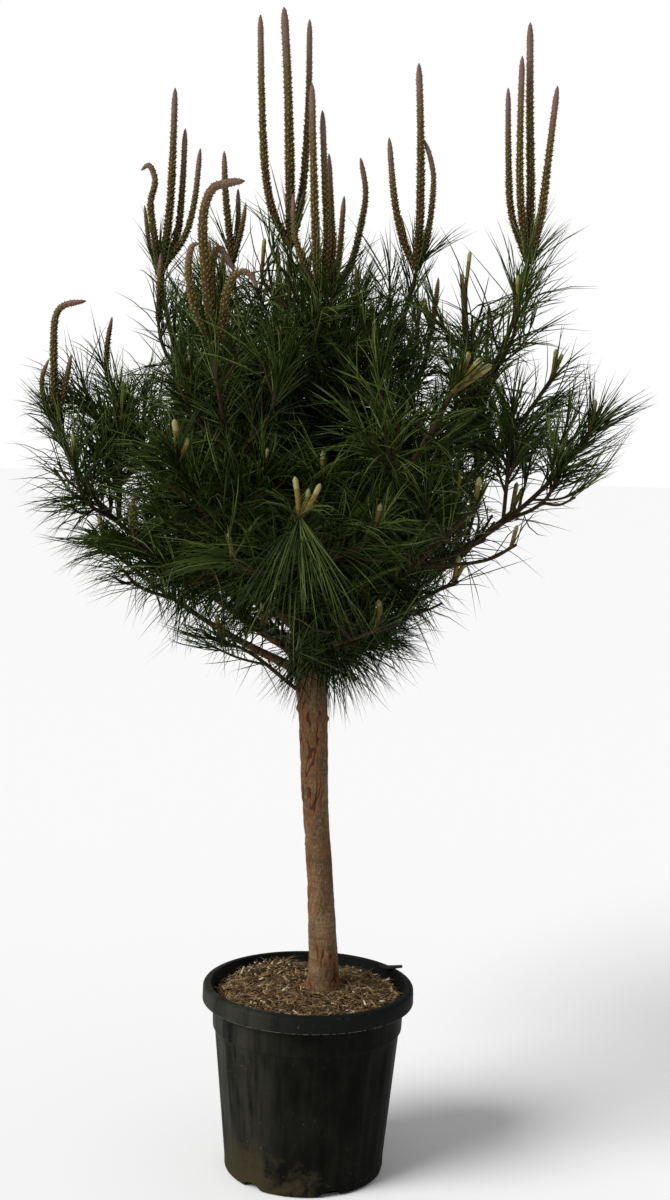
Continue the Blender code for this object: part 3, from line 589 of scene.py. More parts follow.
def frames_along(path: Path) -> tuple[np.ndarray, np.ndarray, np.ndarray, np.ndarray]:
    """Points, directions and two square sides along a path, with as little twist as it allows."""
    points = np.array(path)
    ways = unit(np.gradient(points, axis=0))
    side = np.cross(ways[0], (0.0, 0.0, 1.0) if abs(ways[0][2]) < 0.95 else (1.0, 0.0, 0.0))
    sides = []
    for way in ways:
        side = side - side.dot(way) * way
        side = side / np.linalg.norm(side)
        sides.append(side)
    sides = np.array(sides)
    return points, ways, sides, np.cross(ways, sides)


def between(count: int, shares: np.ndarray) -> tuple[np.ndarray, np.ndarray]:
    """Places along a path of this many points: the number of the point before each, and the part past it."""
    place = shares * (count - 1)
    low = np.minimum(place.astype(int), count - 2)
    return low, (place - low)[:, None]


def blended(rows: np.ndarray, low: np.ndarray, part: np.ndarray) -> np.ndarray:
    """A path's rows read between its points."""
    return rows[low] * (1 - part) + rows[low + 1] * part


def turned(profile: list[Span], steps: int, merge: float) -> bmesh.types.BMesh:
    """A profile of radii and heights, spun round the upright axis.

    Args:
        profile: the radii and heights.
        steps: how many faces go round.
        merge: points closer than this become one.

    Returns:
        The turned shape.
    """
    bm = bmesh.new()
    verts = [bm.verts.new((r, 0.0, z)) for r, z in profile]
    edges = [bm.edges.new(pair) for pair in zip(verts, verts[1:])]
    spin = {"axis": (0, 0, 1), "cent": (0, 0, 0), "angle": math.tau, "steps": steps}
    bmesh.ops.spin(bm, geom=verts + edges, use_merge=True, use_duplicate=False, **spin)
    bmesh.ops.remove_doubles(bm, verts=bm.verts, dist=merge)
    return bm


def eased(share: float) -> float:
    """A share from 0 to 1 with a soft start and end."""
    return share * share * (3.0 - 2.0 * share)


def rolled_tubes(name: str, tubes: list[Tube], sides: int) -> bpy.types.Mesh:
    """Closed tubes in one mesh: each a grid rolled up round its path, with its seam merged.

    Args:
        name: the mesh's name.
        tubes: each tube's axis, and its radius at each of the axis's points.
        sides: faces round each tube.

    Returns:
        The mesh, shaded smooth.
    """
    bm = bmesh.new()
    for path, radii in tubes:
        points, _, first, second = frames_along(path)
        rows = len(path)
        for vert in bmesh.ops.create_grid(bm, x_segments=sides, y_segments=rows - 1, size=0.5)["verts"]:
            turn = (vert.co.x + 0.5) * math.tau
            row = round((vert.co.y + 0.5) * (rows - 1))
            vert.co = points[row] + radii[row] * (math.cos(turn) * first[row] + math.sin(turn) * second[row])
    bmesh.ops.remove_doubles(bm, verts=bm.verts, dist=1e-6)
    bmesh.ops.holes_fill(bm, edges=bm.edges, sides=0)
    return finished(bm, name, 75.0)


def finished(bm: bmesh.types.BMesh, name: str, smooth_under: float = 180.0) -> bpy.types.Mesh:
    """The bmesh as a mesh with its faces pointing out, sharp where they turn by more than these degrees."""
    bmesh.ops.recalc_face_normals(bm, faces=bm.faces)
    mesh = bpy.data.meshes.new(name)
    bm.to_mesh(mesh)
    bm.free()
    mesh.shade_smooth()
    mesh.set_sharp_from_angle(angle=math.radians(smooth_under))
    return mesh


# The skeleton: the same rule that the solids grow by


class Candle(NamedTuple):
    """A candle's line as offsets from its shoot's tip, and how thick it is beside the others."""

    line: tuple
    girth: float = 1.0


def candle(*offsets: int, girth: float = 1.0) -> Candle:
    """A candle through points whose offsets from its shoot's tip are given in millimetres."""
    metres = [offset / 1000.0 for offset in offsets]
    return Candle(tuple(zip(metres[::3], metres[1::3], metres[2::3])), girth)


class Branch(NamedTuple):
    """A branch from the trunk to the tip of its leading shoot."""

    name: str
    root: float  # height at which it leaves the trunk
    azimuth: float  # degrees: 0 is right, -90 front, 90 back
    reach: float  # from the trunk's axis to the tip
    tip: float  # height of the tip
    lift: float = 0.6  # 0 ends pointing outwards, 1 straight up
    girth: float = 0.0100  # radius where it leaves the trunk
    laterals: int = 2
    side_candle: float = 0.0  # length of the candle on each lateral


BOUGHS = (
    Branch("low_right", 1.045, 6, 0.430, 1.335, 0.48),
    Branch("low_right_front", 1.020, -26, 0.330, 1.205, 0.30),
    Branch("low_front", 1.055, -64, 0.330, 1.135, 0.25),
    Branch("low_left_front", 1.035, -145, 0.370, 1.270, 0.35),
    Branch("low_left", 1.000, 178, 0.390, 1.250, 0.45),
    Branch("low_back_left", 1.055, 140, 0.400, 1.200, 0.30),
    Branch("low_back", 1.035, 98, 0.400, 1.190, 0.30),
    Branch("low_back_right", 1.000, 52, 0.420, 1.230, 0.30),
    Branch("mid_right", 1.120, -6, 0.575, 1.500, 0.62, 0.0115, 3),
    Branch("mid_right_back", 1.180, 20, 0.565, 1.600, 0.60, 0.0110, 2),
    Branch("mid_back_right", 1.150, 66, 0.500, 1.450, 0.50, 0.0110, 2, 0.045),
    Branch("mid_back", 1.185, 104, 0.500, 1.500, 0.55, 0.0110, 2, 0.045),
    Branch("mid_left_back", 1.135, 146, 0.475, 1.590, 0.65, 0.0110, 2),
    Branch("mid_left", 1.100, -171, 0.455, 1.490, 0.80, 0.0115, 3, 0.060),
    Branch("mid_left_front", 1.075, -117, 0.430, 1.425, 0.50, 0.0110, 2, 0.040),
    Branch("mid_front", 1.120, -88, 0.430, 1.340, 0.45, 0.0110, 3, 0.040),
    Branch("mid_front_right", 1.083, -46, 0.470, 1.360, 0.45, 0.0110, 2, 0.040),
    Branch("high_right", 1.225, 0, 0.453, 1.815, 0.90, 0.0120, 3, 0.050),
    Branch("high_right_front", 1.197, -49, 0.449, 1.565, 0.60, 0.0115, 2),
    Branch("high_right_back", 1.255, 44, 0.400, 1.690, 0.80, 0.0110, 2, 0.050),
    Branch("high_back", 1.292, 96, 0.340, 1.730, 0.85, 0.0110, 2, 0.080),
    Branch("high_left", 1.220, 155, 0.290, 1.790, 0.90, 0.0120, 3, 0.110),
    Branch("high_left_front", 1.163, -114, 0.308, 1.635, 0.90, 0.0120, 2, 0.040),
)
SPRAYS = (
    Branch("low_front_left", 1.000, -108, 0.240, 1.115, 0.20, 0.0085, 1),
    Branch("low_near_left", 0.955, -140, 0.215, 1.080, 0.15, 0.0085, 1),
    Branch("low_near_back", 0.960, 75, 0.230, 1.090, 0.20, 0.0085, 1),
    Branch("top_front", 1.440, -66, 0.140, 1.735, 0.90, 0.0090, 2, 0.060),
    Branch("top_right", 1.400, 8, 0.246, 1.800, 0.88, 0.0095, 2, 0.080),
    Branch("top_back", 1.470, 60, 0.170, 1.755, 0.90, 0.0085, 1, 0.060),
    Branch("top_left", 1.420, 130, 0.190, 1.810, 0.90, 0.0090, 2, 0.080),
)
LEADER = Branch("leader", 1.650, 180, 0.002, 1.834, 1.00, 0.0085, 2, 0.050)

# The candles on each leading shoot, as points from the shoot's tip: long and upright on the high
# shoots, and some hooked over at the end
CANDLES = {
    "leader": (
        candle(-6, 0, 150, -14, 0, 300, -24, 0, 430, girth=1.35),
        candle(-34, 0, 50, -52, 0, 130, -62, 0, 270, -68, 0, 415),
        candle(14, 12, 50, 22, 24, 130, 26, 30, 270, 24, 30, 415),
    ),
    "top_front": (
        candle(-10, -4, 100, -18, -2, 240, -24, 0, 370, girth=1.1),
        candle(12, 10, 80, 4, 14, 200, -4, 16, 325),
        candle(22, 20, 60, 18, 30, 140, 10, 32, 250, girth=0.9),
        candle(-30, 18, 50, -48, 26, 100, -54, 28, 175, girth=0.85),
    ),
    "top_right": (
        candle(0, 0, 100, -4, 0, 240, -12, 0, 375, girth=1.15),
        candle(-30, 0, 40, -50, 0, 120, -64, 0, 235),
        candle(16, 4, 50, 24, 4, 150, 16, 4, 200, 2, 4, 235, girth=0.85),
        candle(-22, 14, 30, -36, 18, 90, girth=0.8),
    ),
    "top_back": (
        candle(6, 0, 70, 12, 0, 180, girth=0.9),
        candle(30, 0, 50, 48, 0, 130, 54, 0, 190, 42, 0, 255),
    ),
    "top_left": (
        candle(-8, 0, 60, -16, 0, 130, -20, 0, 205),
        candle(10, 14, 50, 8, 18, 135, girth=0.9),
        candle(18, -12, 50, 26, -14, 105, girth=0.85),
    ),
    "high_right": (
        candle(-2, 6, 120, -10, 6, 280, -16, 4, 435, girth=1.1),
        candle(-22, -14, 100, -28, -14, 220, -30, -14, 370),
        candle(-36, 8, 80, -46, 10, 180, -52, 10, 315, girth=0.9),
        candle(18, 0, 70, 28, 0, 180, 40, 0, 320),
    ),
    "high_right_front": (
        candle(10, 0, 30, 20, 0, 60, girth=1.5),
        candle(20, -14, 20, 42, -18, 50, girth=1.4),
        candle(30, 12, 15, 62, 14, 40, girth=1.3),
    ),
    "high_right_back": (
        candle(4, 0, 50, 8, 0, 100),
        candle(-14, 10, 30, -20, 14, 60),
    ),
    "high_back": (
        candle(0, 0, 60, -4, 0, 120),
        candle(16, 10, 40, 22, 12, 85),
    ),
    "high_left": (
        candle(12, 0, 50, 20, 0, 150, 24, 0, 340, girth=1.1),
        candle(30, 12, 50, 40, 14, 140, 44, 14, 265),
        candle(46, -4, 50, 66, -6, 120, 76, -6, 225, girth=0.9),
        candle(-10, 0, 45, -20, 0, 115, -12, 0, 160, -24, 0, 190, -40, 0, 180),
        candle(-22, 14, 40, -34, 18, 115, girth=0.8),
    ),
    "high_left_front": (
        candle(-12, 0, 80, -24, 0, 195, -12, 0, 255, 16, 0, 270, 48, 0, 275, girth=1.3),
        candle(-24, 2, 30, -42, 2, 80, -48, 2, 125, -42, 0, 160, -28, 0, 165),
        candle(-4, 18, 60, -8, 24, 135, 4, 24, 160, 20, 24, 140, 32, 24, 120),
        candle(16, -10, 30, 22, -12, 85, 38, -12, 115, 60, -12, 115, 76, -12, 90),
    ),
    "mid_left": (
        candle(0, 0, 60, -2, 0, 120, 0, 0, 180, 16, 0, 205, 58, 0, 215),
        candle(-20, 4, 30, -24, 6, 70, -12, 6, 105, girth=0.8),
        candle(18, 6, 50, 30, 8, 115, girth=0.9),
    ),
    "mid_left_back": (
        candle(8, 0, 50, 16, 0, 100),
    ),
    "mid_back": (
        candle(0, 0, 60, 4, 4, 130),
        candle(-16, 6, 40, -22, 10, 80),
    ),
    "mid_left_front": (
        candle(2, 0, 35, -4, 0, 70, girth=1.2),
        candle(16, -6, 20, 20, -8, 40),
    ),
    "mid_front": (
        candle(-4, 0, 30, -10, 0, 65, girth=1.1),
        candle(10, 8, 20, 14, 10, 45),
        candle(18, -8, 20, 34, -10, 55),
    ),
    "low_left_front": (
        candle(4, 0, 45, 8, 0, 90),
    ),
    "low_front": (
        candle(-2, 0, 25, -6, 0, 50),
    ),
}
# On the leading shoots that aren't named above
BUDS = (candle(0, 0, 50), candle(14, 10, 40))


@dataclass(frozen=True)
class StemLine:
    """The stem's axis and thickness by height."""

    axis: tuple[Triple, ...] = (
        (0.3723, 0.030, -0.006),
        (0.440, 0.028, -0.006),
        (0.590, 0.017, -0.003),
        (0.760, 0.002, 0.002),
        (0.930, -0.006, 0.004),
        (1.060, -0.024, 0.002),
        (1.250, -0.042, -0.002),
        (1.450, -0.057, 0.000),
        (1.650, -0.072, 0.000),
    )
    radii: Rows = (
        (0.3723, 0.0375),
        (0.392, 0.0325),
        (0.425, 0.0295),
        (0.520, 0.0268),
        (0.690, 0.0252),
        (0.860, 0.0278),
        (0.970, 0.0300),
        (1.080, 0.0285),
        (1.260, 0.0220),
        (1.460, 0.0150),
        (1.650, 0.0085),
    )

    def point(self, z: float) -> Vector:
        """The axis at a height."""
        heights = [row[0] for row in self.axis]
        x = np.interp(z, heights, [row[1] for row in self.axis])
        y = np.interp(z, heights, [row[2] for row in self.axis])
        return Vector((float(x), float(y), z))

    def radius(self, z: float) -> float:
        """The stem's radius at a height."""
        return float(np.interp(z, *zip(*self.radii)))

    def reach(self, point: Vector) -> float:
        """How far a point stands from the axis at its height."""
        return (point - self.point(point.z)).length

    @property
    def foot(self) -> float:
        """The height of the flat cut on the compost."""
        return self.axis[0][0]

    @property
    def top(self) -> float:
        """The height where the leader takes over."""
        return self.axis[-1][0]


STEM = StemLine()


@dataclass(frozen=True)
class Outline:
    """The crown's outline: its underside as reach and least height, and the most that needles reach.

    Reach is measured from the crown's own axis, which stands at centre, and the underside rises to
    the right by lean.
    """

    centre: float = 0.020
    underside: Rows = (
        (0.00, 0.920),
        (0.12, 0.965),
        (0.22, 1.035),
        (0.30, 1.110),
        (0.38, 1.170),
        (0.45, 1.235),
        (0.51, 1.315),
        (0.56, 1.380),
        (0.60, 1.470),
    )
    lean: float = 0.10
    widest: float = 0.610

    def reach(self, points: np.ndarray) -> np.ndarray:
        """How far points stand from the crown's axis."""
        return np.hypot(points[..., 0] - self.centre, points[..., 1])

    def above(self, points: np.ndarray) -> np.ndarray:
        """How far points stand above the underside."""
        lowest = np.interp(self.reach(points), *zip(*self.underside))
        return points[..., 2] - lowest - self.lean * points[..., 0]


OUTLINE = Outline()


@dataclass(frozen=True)
class BranchRule:
    """How a branch curves out of the trunk, as shares of its length or its root radius."""

    gap: float = 0.0003
    bough_share: float = 0.50
    bough_stations: int = 5
    bough_step: float = 0.01
    bough_tip: float = 0.52
    root_out: float = 0.34
    root_up: float = 0.20
    tip_ease: float = 0.42

    def curve(self, branch: Branch) -> Curve:
        """The four control points of a branch, from the trunk's axis to its tip."""
        angle = math.radians(branch.azimuth)
        out = Vector((math.cos(angle), math.sin(angle), 0.0))
        start = STEM.point(branch.root)
        end = STEM.point(branch.tip) + branch.reach * out
        length = (end - start).length
        leaving = start + self.root_out * branch.reach * out + self.root_up * (branch.tip - branch.root) * UP
        tip_way = ((1.0 - branch.lift) * out + branch.lift * UP).normalized()
        return start, leaving, end - self.tip_ease * length * tip_way, end

    def leading_start(self, branch: Branch) -> float:
        """The share of a branch's curve at which its leading shoot begins."""
        curve = self.curve(branch)
        if branch in BOUGHS:
            share, step = self.bough_share, self.bough_step
            run = (bezier(*curve, share + step) - bezier(*curve, share)).length
            return share + step * self.gap / run
        return self.gap / (curve[3] - curve[0]).length if branch is LEADER else 0.0


@dataclass(frozen=True)
class ShootRule:
    """How side shoots and candles spring from a leading shoot."""

    seed: int = 41
    stem_samples: int = 60
    leading_points: int = 6
    core_radius: float = 0.0200
    lateral_start: float = 0.30
    lateral_sizes: Span = (0.82, 1.08)
    lateral_skip: int = 4
    lateral_share: Span = (0.80, 0.55)
    lateral_spread: float = math.radians(50.0)
    lateral_curl: float = 0.55
    lateral_rolls: int = 12
    lateral_reach: float = 1.03
    least_reach: float = 0.25
    above_underside: float = 0.030
    least_room: float = 0.047
    gap: float = 0.0003
    limb_gaps: int = 5
    candle_radius: float = 0.0068
    candle_sunk: float = 0.012
    candle_room: float = 0.0285
    least_candle: float = 0.035
    side_girth: float = 0.9
    side_sizes: Span = (0.85, 1.10)
    side_lean: float = 0.12

    def side_candles(self, branch: Branch, rng: random.Random) -> tuple[Candle, ...]:
        """The one candle on a lateral's tip, nearly upright, or none where it would be a mere bud."""
        length = branch.side_candle * rng.uniform(*self.side_sizes)
        if length < self.least_candle:
            return ()
        lean = self.side_lean * length
        roll = rng.uniform(0.0, math.tau)
        return (Candle(((lean * math.cos(roll), lean * math.sin(roll), length),), self.side_girth),)


BRANCH_RULE = BranchRule()
SHOOT_RULE = ShootRule()
SAMPLE_STEP = 0.018


def bezier(a: Vector, b: Vector, c: Vector, d: Vector, t: float) -> Vector:
    """A point at t on the cubic curve with these four control points."""
    s = 1.0 - t
    return s**3 * a + 3 * s * s * t * b + 3 * s * t * t * c + t**3 * d


def stretch(curve: Curve, first: float, last: float, count: int) -> Path:
    """Points at even steps along a part of a branch's curve."""
    return [bezier(*curve, first + (last - first) * k / (count - 1)) for k in range(count)]


def length_of(points: Path) -> float:
    """A polyline's length."""
    return sum((b - a).length for a, b in zip(points, points[1:]))


def along(points: Path, share: float) -> tuple[Vector, Vector]:
    """The point and direction at a share of a polyline's length."""
    steps = [(b - a).length for a, b in zip(points, points[1:])]
    left = share * sum(steps)
    for a, b, step in zip(points, points[1:], steps):
        if left <= step or b is points[-1]:
            return a.lerp(b, min(1.0, left / step)), (b - a).normalized()
        left -= step
    return points[-1].copy(), (points[-1] - points[-2]).normalized()


def sideways(way: Vector, roll: float) -> Vector:
    """A unit vector square to a direction, at a roll angle about it."""
    side = way.cross(UP)
    if side.length < 1e-3:
        side = Vector((1.0, 0.0, 0.0))
    return Matrix.Rotation(roll, 3, way) @ side.normalized()


def samples(points: Path) -> np.ndarray:
    """Points no more than SAMPLE_STEP apart along a polyline."""
    found = [points[0]]
    for a, b in zip(points, points[1:]):
        count = max(1, math.ceil((b - a).length / SAMPLE_STEP))
        found += [a.lerp(b, (k + 1) / count) for k in range(count)]
    return np.array(found)


def nearest(points: np.ndarray, cloud: np.ndarray) -> np.ndarray:
    """For each point, its distance to the nearest point of a cloud."""
    if not len(cloud):
        return np.full(len(points), FAR)
    return np.linalg.norm(points[:, None] - cloud[None], axis=2).min(axis=1)


class Shoot(NamedTuple):
    """A leafy shoot: the branch it belongs to, its points from base to tip, and its candles."""

    branch: Branch
    points: Path
    candles: tuple[Candle, ...]


@dataclass
class Skeleton:
    """Where the limbs, shoots and candles run, by the rule that the solids grow by."""

    shoots: list[Shoot] = field(default_factory=list)
    candles: dict[str, list[tuple[Path, float]]] = field(default_factory=dict)
    clouds: dict[str, np.ndarray] = field(default_factory=dict)
    limbs: list[np.ndarray] = field(default_factory=list)
    limb_radii: list[np.ndarray] = field(default_factory=list)

    def grow(self) -> "Skeleton":
        """Every leading shoot and its candles first, then the laterals and theirs."""
        rule = SHOOT_RULE
        rng = random.Random(rule.seed)
        heights = np.linspace(STEM.foot, STEM.top, rule.stem_samples)
        self.add_limb(samples([STEM.point(z) for z in heights]), None)
        leading, shape = {}, BRANCH_RULE
        for branch in BOUGHS:
            limb = stretch(shape.curve(branch), 0.0, shape.bough_share, shape.bough_stations)
            self.add_limb(samples(limb), branch)
        for branch in (*BOUGHS, *SPRAYS, LEADER):
            first = shape.leading_start(branch)
            leading[branch.name] = stretch(shape.curve(branch), first, 1.0, rule.leading_points)
            self.add_shoot(Shoot(branch, leading[branch.name], CANDLES.get(branch.name, BUDS)))
        self.grow_candles(self.shoots)
        first_lateral = len(self.shoots)
        for branch in (*BOUGHS, *SPRAYS, LEADER):
            self.grow_laterals(branch, leading[branch.name], rng)
        self.grow_candles(self.shoots[first_lateral:])
        return self

    def add_limb(self, points: np.ndarray, branch: Branch | None) -> None:
        """Takes in the axis and thickness of a bough, or of the stem, which shoots and candles avoid."""
        radii = [branch.girth if branch else STEM.radius(point[2]) for point in points]
        self.limbs.append(points)
        self.limb_radii.append(np.array(radii))

    def add_shoot(self, shoot: Shoot) -> None:
        """Takes in a shoot and the space it fills."""
        self.shoots.append(shoot)
        self.claim(shoot.branch.name, samples(shoot.points))

    def claim(self, mass: str, cloud: np.ndarray) -> None:
        """Adds points to a mass's own space."""
        held = self.clouds.get(mass)
        self.clouds[mass] = cloud if held is None else np.concatenate([held, cloud])

    def clear_of_masses(self, mass: str, points: np.ndarray) -> float:
        """The least distance from these points to the shoots of other masses."""
        others = [cloud for name, cloud in self.clouds.items() if name != mass]
        return nearest(points, np.concatenate(others)).min() if others else FAR

    def clear_of_limbs(self, points: np.ndarray) -> float:
        """The least distance from these points to the surface of any limb."""
        cloud = np.concatenate(self.limbs)
        radii = np.concatenate(self.limb_radii)
        return (np.linalg.norm(points[:, None] - cloud[None], axis=2) - radii[None]).min()

    def grow_laterals(self, branch: Branch, leading: Path, rng: random.Random) -> None:
        """Side shoots from one ring on the leading shoot, each in the freest direction."""
        rule = SHOOT_RULE
        start, way = along(leading, rule.lateral_start)
        share = rule.lateral_share[0] + (rule.lateral_share[1] - rule.lateral_share[0]) * branch.lift
        length = share * length_of(leading)
        for _ in range(branch.laterals):
            first_roll = rng.uniform(0.0, math.tau)
            size = length * rng.uniform(*rule.lateral_sizes)
            tries = []
            for k in range(rule.lateral_rolls):
                side = sideways(way, first_roll + k * math.tau / rule.lateral_rolls)
                heading = math.cos(rule.lateral_spread) * way + math.sin(rule.lateral_spread) * side
                middle = start + 0.5 * size * heading
                bent = (heading.lerp(UP, rule.lateral_curl * branch.lift)).normalized()
                points = [start, start.lerp(middle, 0.5), middle, middle + 0.25 * size * (heading + bent) / 2]
                points.append(middle + 0.5 * size * bent)
                too_far = STEM.reach(points[-1]) > max(rule.least_reach, rule.lateral_reach * branch.reach)
                if too_far or OUTLINE.above(np.array(points[-1])) < rule.above_underside:
                    continue
                outer = samples(points)[rule.lateral_skip :]
                own = nearest(outer, self.clouds[branch.name]).mean()
                room = min(self.clear_of_masses(branch.name, outer), own)
                if self.clear_of_limbs(outer) > rule.core_radius + rule.gap * rule.limb_gaps:
                    tries.append((room, k, points))
            room, _, points = max(tries, default=(0.0, 0, None))
            if room > rule.least_room:
                self.add_shoot(Shoot(branch, points, rule.side_candles(branch, rng)))

    def grow_candles(self, shoots: list[Shoot]) -> None:
        """Candles in a tuft on each shoot's tip. One that would cross another mass is left off."""
        rule = SHOOT_RULE
        for shoot in shoots:
            name = shoot.branch.name
            tip, way = along(shoot.points, 1.0)
            for line, girth in shoot.candles:
                points = [tip - rule.candle_sunk * way] + [tip + Vector(offset) for offset in line]
                cloud = samples(points)
                clear = self.clear_of_masses(name, cloud)
                if clear > rule.candle_room and self.clear_of_limbs(cloud) > rule.candle_radius:
                    self.candles.setdefault(name, []).append((points, girth))
                    self.claim(name, cloud)


# The pot


@dataclass
class NurseryPot:
    """The pot: a turned shell with a rolled rim, a band under it, pressed flutes and drain notches."""

    height: float = 0.380
    rim_radius: float = 0.210
    rim_depth: float = 0.034
    rim_opening: float = 0.1945
    band_radius: float = 0.190
    band_depth: float = 0.054
    wall_top: float = 0.1845
    wall_foot: float = 0.1605
    foot_radius: float = 0.151
    foot_round: float = 0.0096
    wall: float = 0.004
    wall_rows: int = 30
    lip: float = 0.0026
    roll: float = 0.0080
    roll_in: float = 0.0085
    under_roll: float = 0.0022
    flutes: int = 12
    flute_depth: float = 0.0028
    flute_foot: float = 0.036
    flute_round: float = 0.014
    flute_top: float = 0.008
    flute_turn: float = 1.0 / 24.0
    flute_edge: float = 9.0
    flute_ends: Triple = (0.010, 0.020, 0.012)  # length at the top, start and length at the foot
    plain_foot: float = 0.004
    steps: int = 240
    merge: float = 2e-6
    smooth_under: float = 38.0
    notches: int = 6
    notch_start: float = math.radians(-69.0)
    notch_width: float = 0.046
    notch_height: float = 0.014
    notch_reach: float = 0.020
    notch_out: float = 0.4
    notch_sides: int = 32

    @property
    def rim_foot(self) -> float:
        """The height of the rim's lower edge."""
        return self.height - self.rim_depth

    @property
    def band_foot(self) -> float:
        """The height of the band's lower edge."""
        return self.rim_foot - self.band_depth

    @staticmethod
    def arc(x: float, z: float, radius: float, start: float, end: float, steps: int) -> list[Span]:
        """Points on an arc round (x, z), with its angles in degrees."""
        angles = np.radians(np.linspace(start, end, steps + 1))
        return [(x + radius * math.cos(angle), z + radius * math.sin(angle)) for angle in angles]

    def profile(self) -> list[Span]:
        """Inner floor, inner wall, rolled rim, band and ribbed wall, down to the underside."""
        rim_foot, band_foot = self.rim_foot, self.band_foot
        points = [(0.0, self.wall), (self.foot_radius - 0.001, self.wall)]
        points += [(self.band_radius - self.wall, rim_foot), (self.rim_opening - 0.0012, self.height - 0.003)]
        points += self.arc(self.rim_opening + 0.0014, self.height - self.lip, self.lip, 170, 90, 4)
        points += self.arc(self.rim_radius - self.roll_in, self.height - self.roll_in, self.roll, 90, 8, 7)
        points += [(self.rim_radius - 0.0002, rim_foot + 0.016)]
        points += self.arc(self.rim_radius - self.under_roll, rim_foot + 0.0024, self.under_roll, 0, -90, 4)
        points += [(x, rim_foot + 0.0012) for x in (self.rim_radius - 0.0045, self.band_radius + 0.0012)]
        points += [(self.band_radius, rim_foot - 0.001), (self.band_radius - 0.0016, band_foot + 0.004)]
        points += self.arc(self.band_radius - 0.0040, band_foot + 0.0024, self.under_roll, 0, -90, 3)
        top, foot = band_foot - 0.002, self.flute_foot - self.flute_round
        heights = [top + (foot - top) * share for share in np.linspace(0.0, 1.0, self.wall_rows)]
        points += [(self.wall_radius(z), z) for z in heights]
        points += self.arc(self.foot_radius - 0.0015, self.foot_round, self.foot_round, 0, -80, 5)
        return [*points, (self.foot_radius - 0.004, 0.0), (0.0, 0.0)]

    def wall_radius(self, z: float) -> float:
        """The plain wall's radius at a height."""
        share = (z - self.flute_foot) / (self.band_foot - self.flute_foot)
        return self.wall_foot + (self.wall_top - self.wall_foot) * share

    def press_flutes(self, bm: bmesh.types.BMesh) -> None:
        """Moves the recessed panels in, with rounded shoulders and ends."""
        top = self.band_foot - self.flute_top
        round_top, start, round_foot = self.flute_ends
        for vert in bm.verts:
            radius, z = math.hypot(vert.co.x, vert.co.y), vert.co.z
            if radius < self.wall_radius(z) - self.wall / 2 or not self.plain_foot <= z <= top:
                continue
            turn = math.atan2(vert.co.y, vert.co.x) / math.tau * self.flutes
            wave = math.sin(math.tau * (turn + self.flute_turn))
            across = 1.0 / (1.0 + math.exp(self.flute_edge * wave))
            ends = min(1.0, (top - z) / round_top) * min(1.0, max(0.0, (z - start) / round_foot))
            vert.co.xy *= 1.0 - self.flute_depth * across * eased(ends) / radius

    def notch_cutters(self) -> bpy.types.Object:
        """Round-topped cutters for the drain notches through the foot of the wall."""
        bm = bmesh.new()
        for number in range(self.notches):
            size = {"radius1": 1.0, "radius2": 1.0, "depth": 2 * self.notch_reach}
            made = bmesh.ops.create_cone(bm, cap_ends=True, segments=self.notch_sides, **size)["verts"]
            bmesh.ops.scale(bm, vec=(self.notch_height, self.notch_width / 2, 1.0), verts=made)
            place = Matrix.Translation((self.foot_radius + self.notch_out * self.notch_reach, 0.0, 0.0))
            turn = Matrix.Rotation(self.notch_start + number * math.tau / self.notches, 4, "Z")
            bmesh.ops.transform(bm, matrix=turn @ place @ Matrix.Rotation(math.pi / 2, 4, "Y"), verts=made)
        return linked("notch_cutters", finished(bm, "notch_cutters"))

    def build(self) -> None:
        """Makes the pot and dresses it."""
        bm = turned(self.profile(), self.steps, self.merge)
        self.press_flutes(bm)
        shell = linked("pot_draft", finished(bm, "pot_draft"))
        cutters = self.notch_cutters()
        cut = shell.modifiers.new("notches", "BOOLEAN")
        cut.operation, cut.solver, cut.object = "DIFFERENCE", "EXACT", cutters
        graph = bpy.context.evaluated_depsgraph_get()
        mesh = bpy.data.meshes.new_from_object(shell.evaluated_get(graph))
        bpy.data.objects.remove(shell)
        bpy.data.objects.remove(cutters)
        mesh.shade_smooth()
        mesh.set_sharp_from_angle(angle=math.radians(self.smooth_under))
        add_piece("pot_shell", mesh, MouldedPlastic().material(), ["pot"])


# The compost


class Litter(Enum):
    """The colours of the compost's loose chips and fibres, with how common each is."""

    UMBER = (PlainFinish("litter_umber", (0.050, 0.029, 0.014), 0.9, 0.2), 0.26)
    BROWN = (PlainFinish("litter_brown", (0.118, 0.070, 0.032), 0.9, 0.2), 0.28)
    OCHRE = (PlainFinish("litter_ochre", (0.215, 0.140, 0.055), 0.85, 0.2), 0.24)
    TAN = (PlainFinish("litter_tan", (0.330, 0.225, 0.110), 0.85, 0.2), 0.17)
    CREAM = (PlainFinish("litter_cream", (0.560, 0.470, 0.320), 0.8, 0.2), 0.05)

    @property
    def finish(self) -> PlainFinish:
        """The colour."""
        return self.value[0]

    @property
    def share(self) -> float:
        """How common it is."""
        return self.value[1]


def chips(centres: np.ndarray, frames: np.ndarray, sizes: np.ndarray, taper: np.ndarray) -> Arrays:
    """Flat splinters, each a closed block that narrows to one end.

    Args:
        centres: their middles.
        frames: three unit vectors each, for length, width and thickness.
        sizes: length, width and thickness of each.
        taper: the width of each one's far end as a share of its near end.

    Returns:
        Points and triangles.
    """
    corners = np.array([(x, y, z) for x in (-0.5, 0.5) for y in (-0.5, 0.5) for z in (-0.5, 0.5)])
    scaled = corners[None] * sizes[:, None]
    scaled[:, 4:, 1] *= taper[:, None]
    points = centres[:, None] + np.einsum("nkc,ncd->nkd", scaled, frames)
    faces = [(0, 1, 3), (0, 3, 2), (4, 6, 7), (4, 7, 5), (0, 4, 5), (0, 5, 1)]
    faces += [(2, 3, 7), (2, 7, 6), (0, 2, 6), (0, 6, 4), (1, 5, 7), (1, 7, 3)]
    return points.reshape(-1, 3), repeated(faces, len(centres), 8)


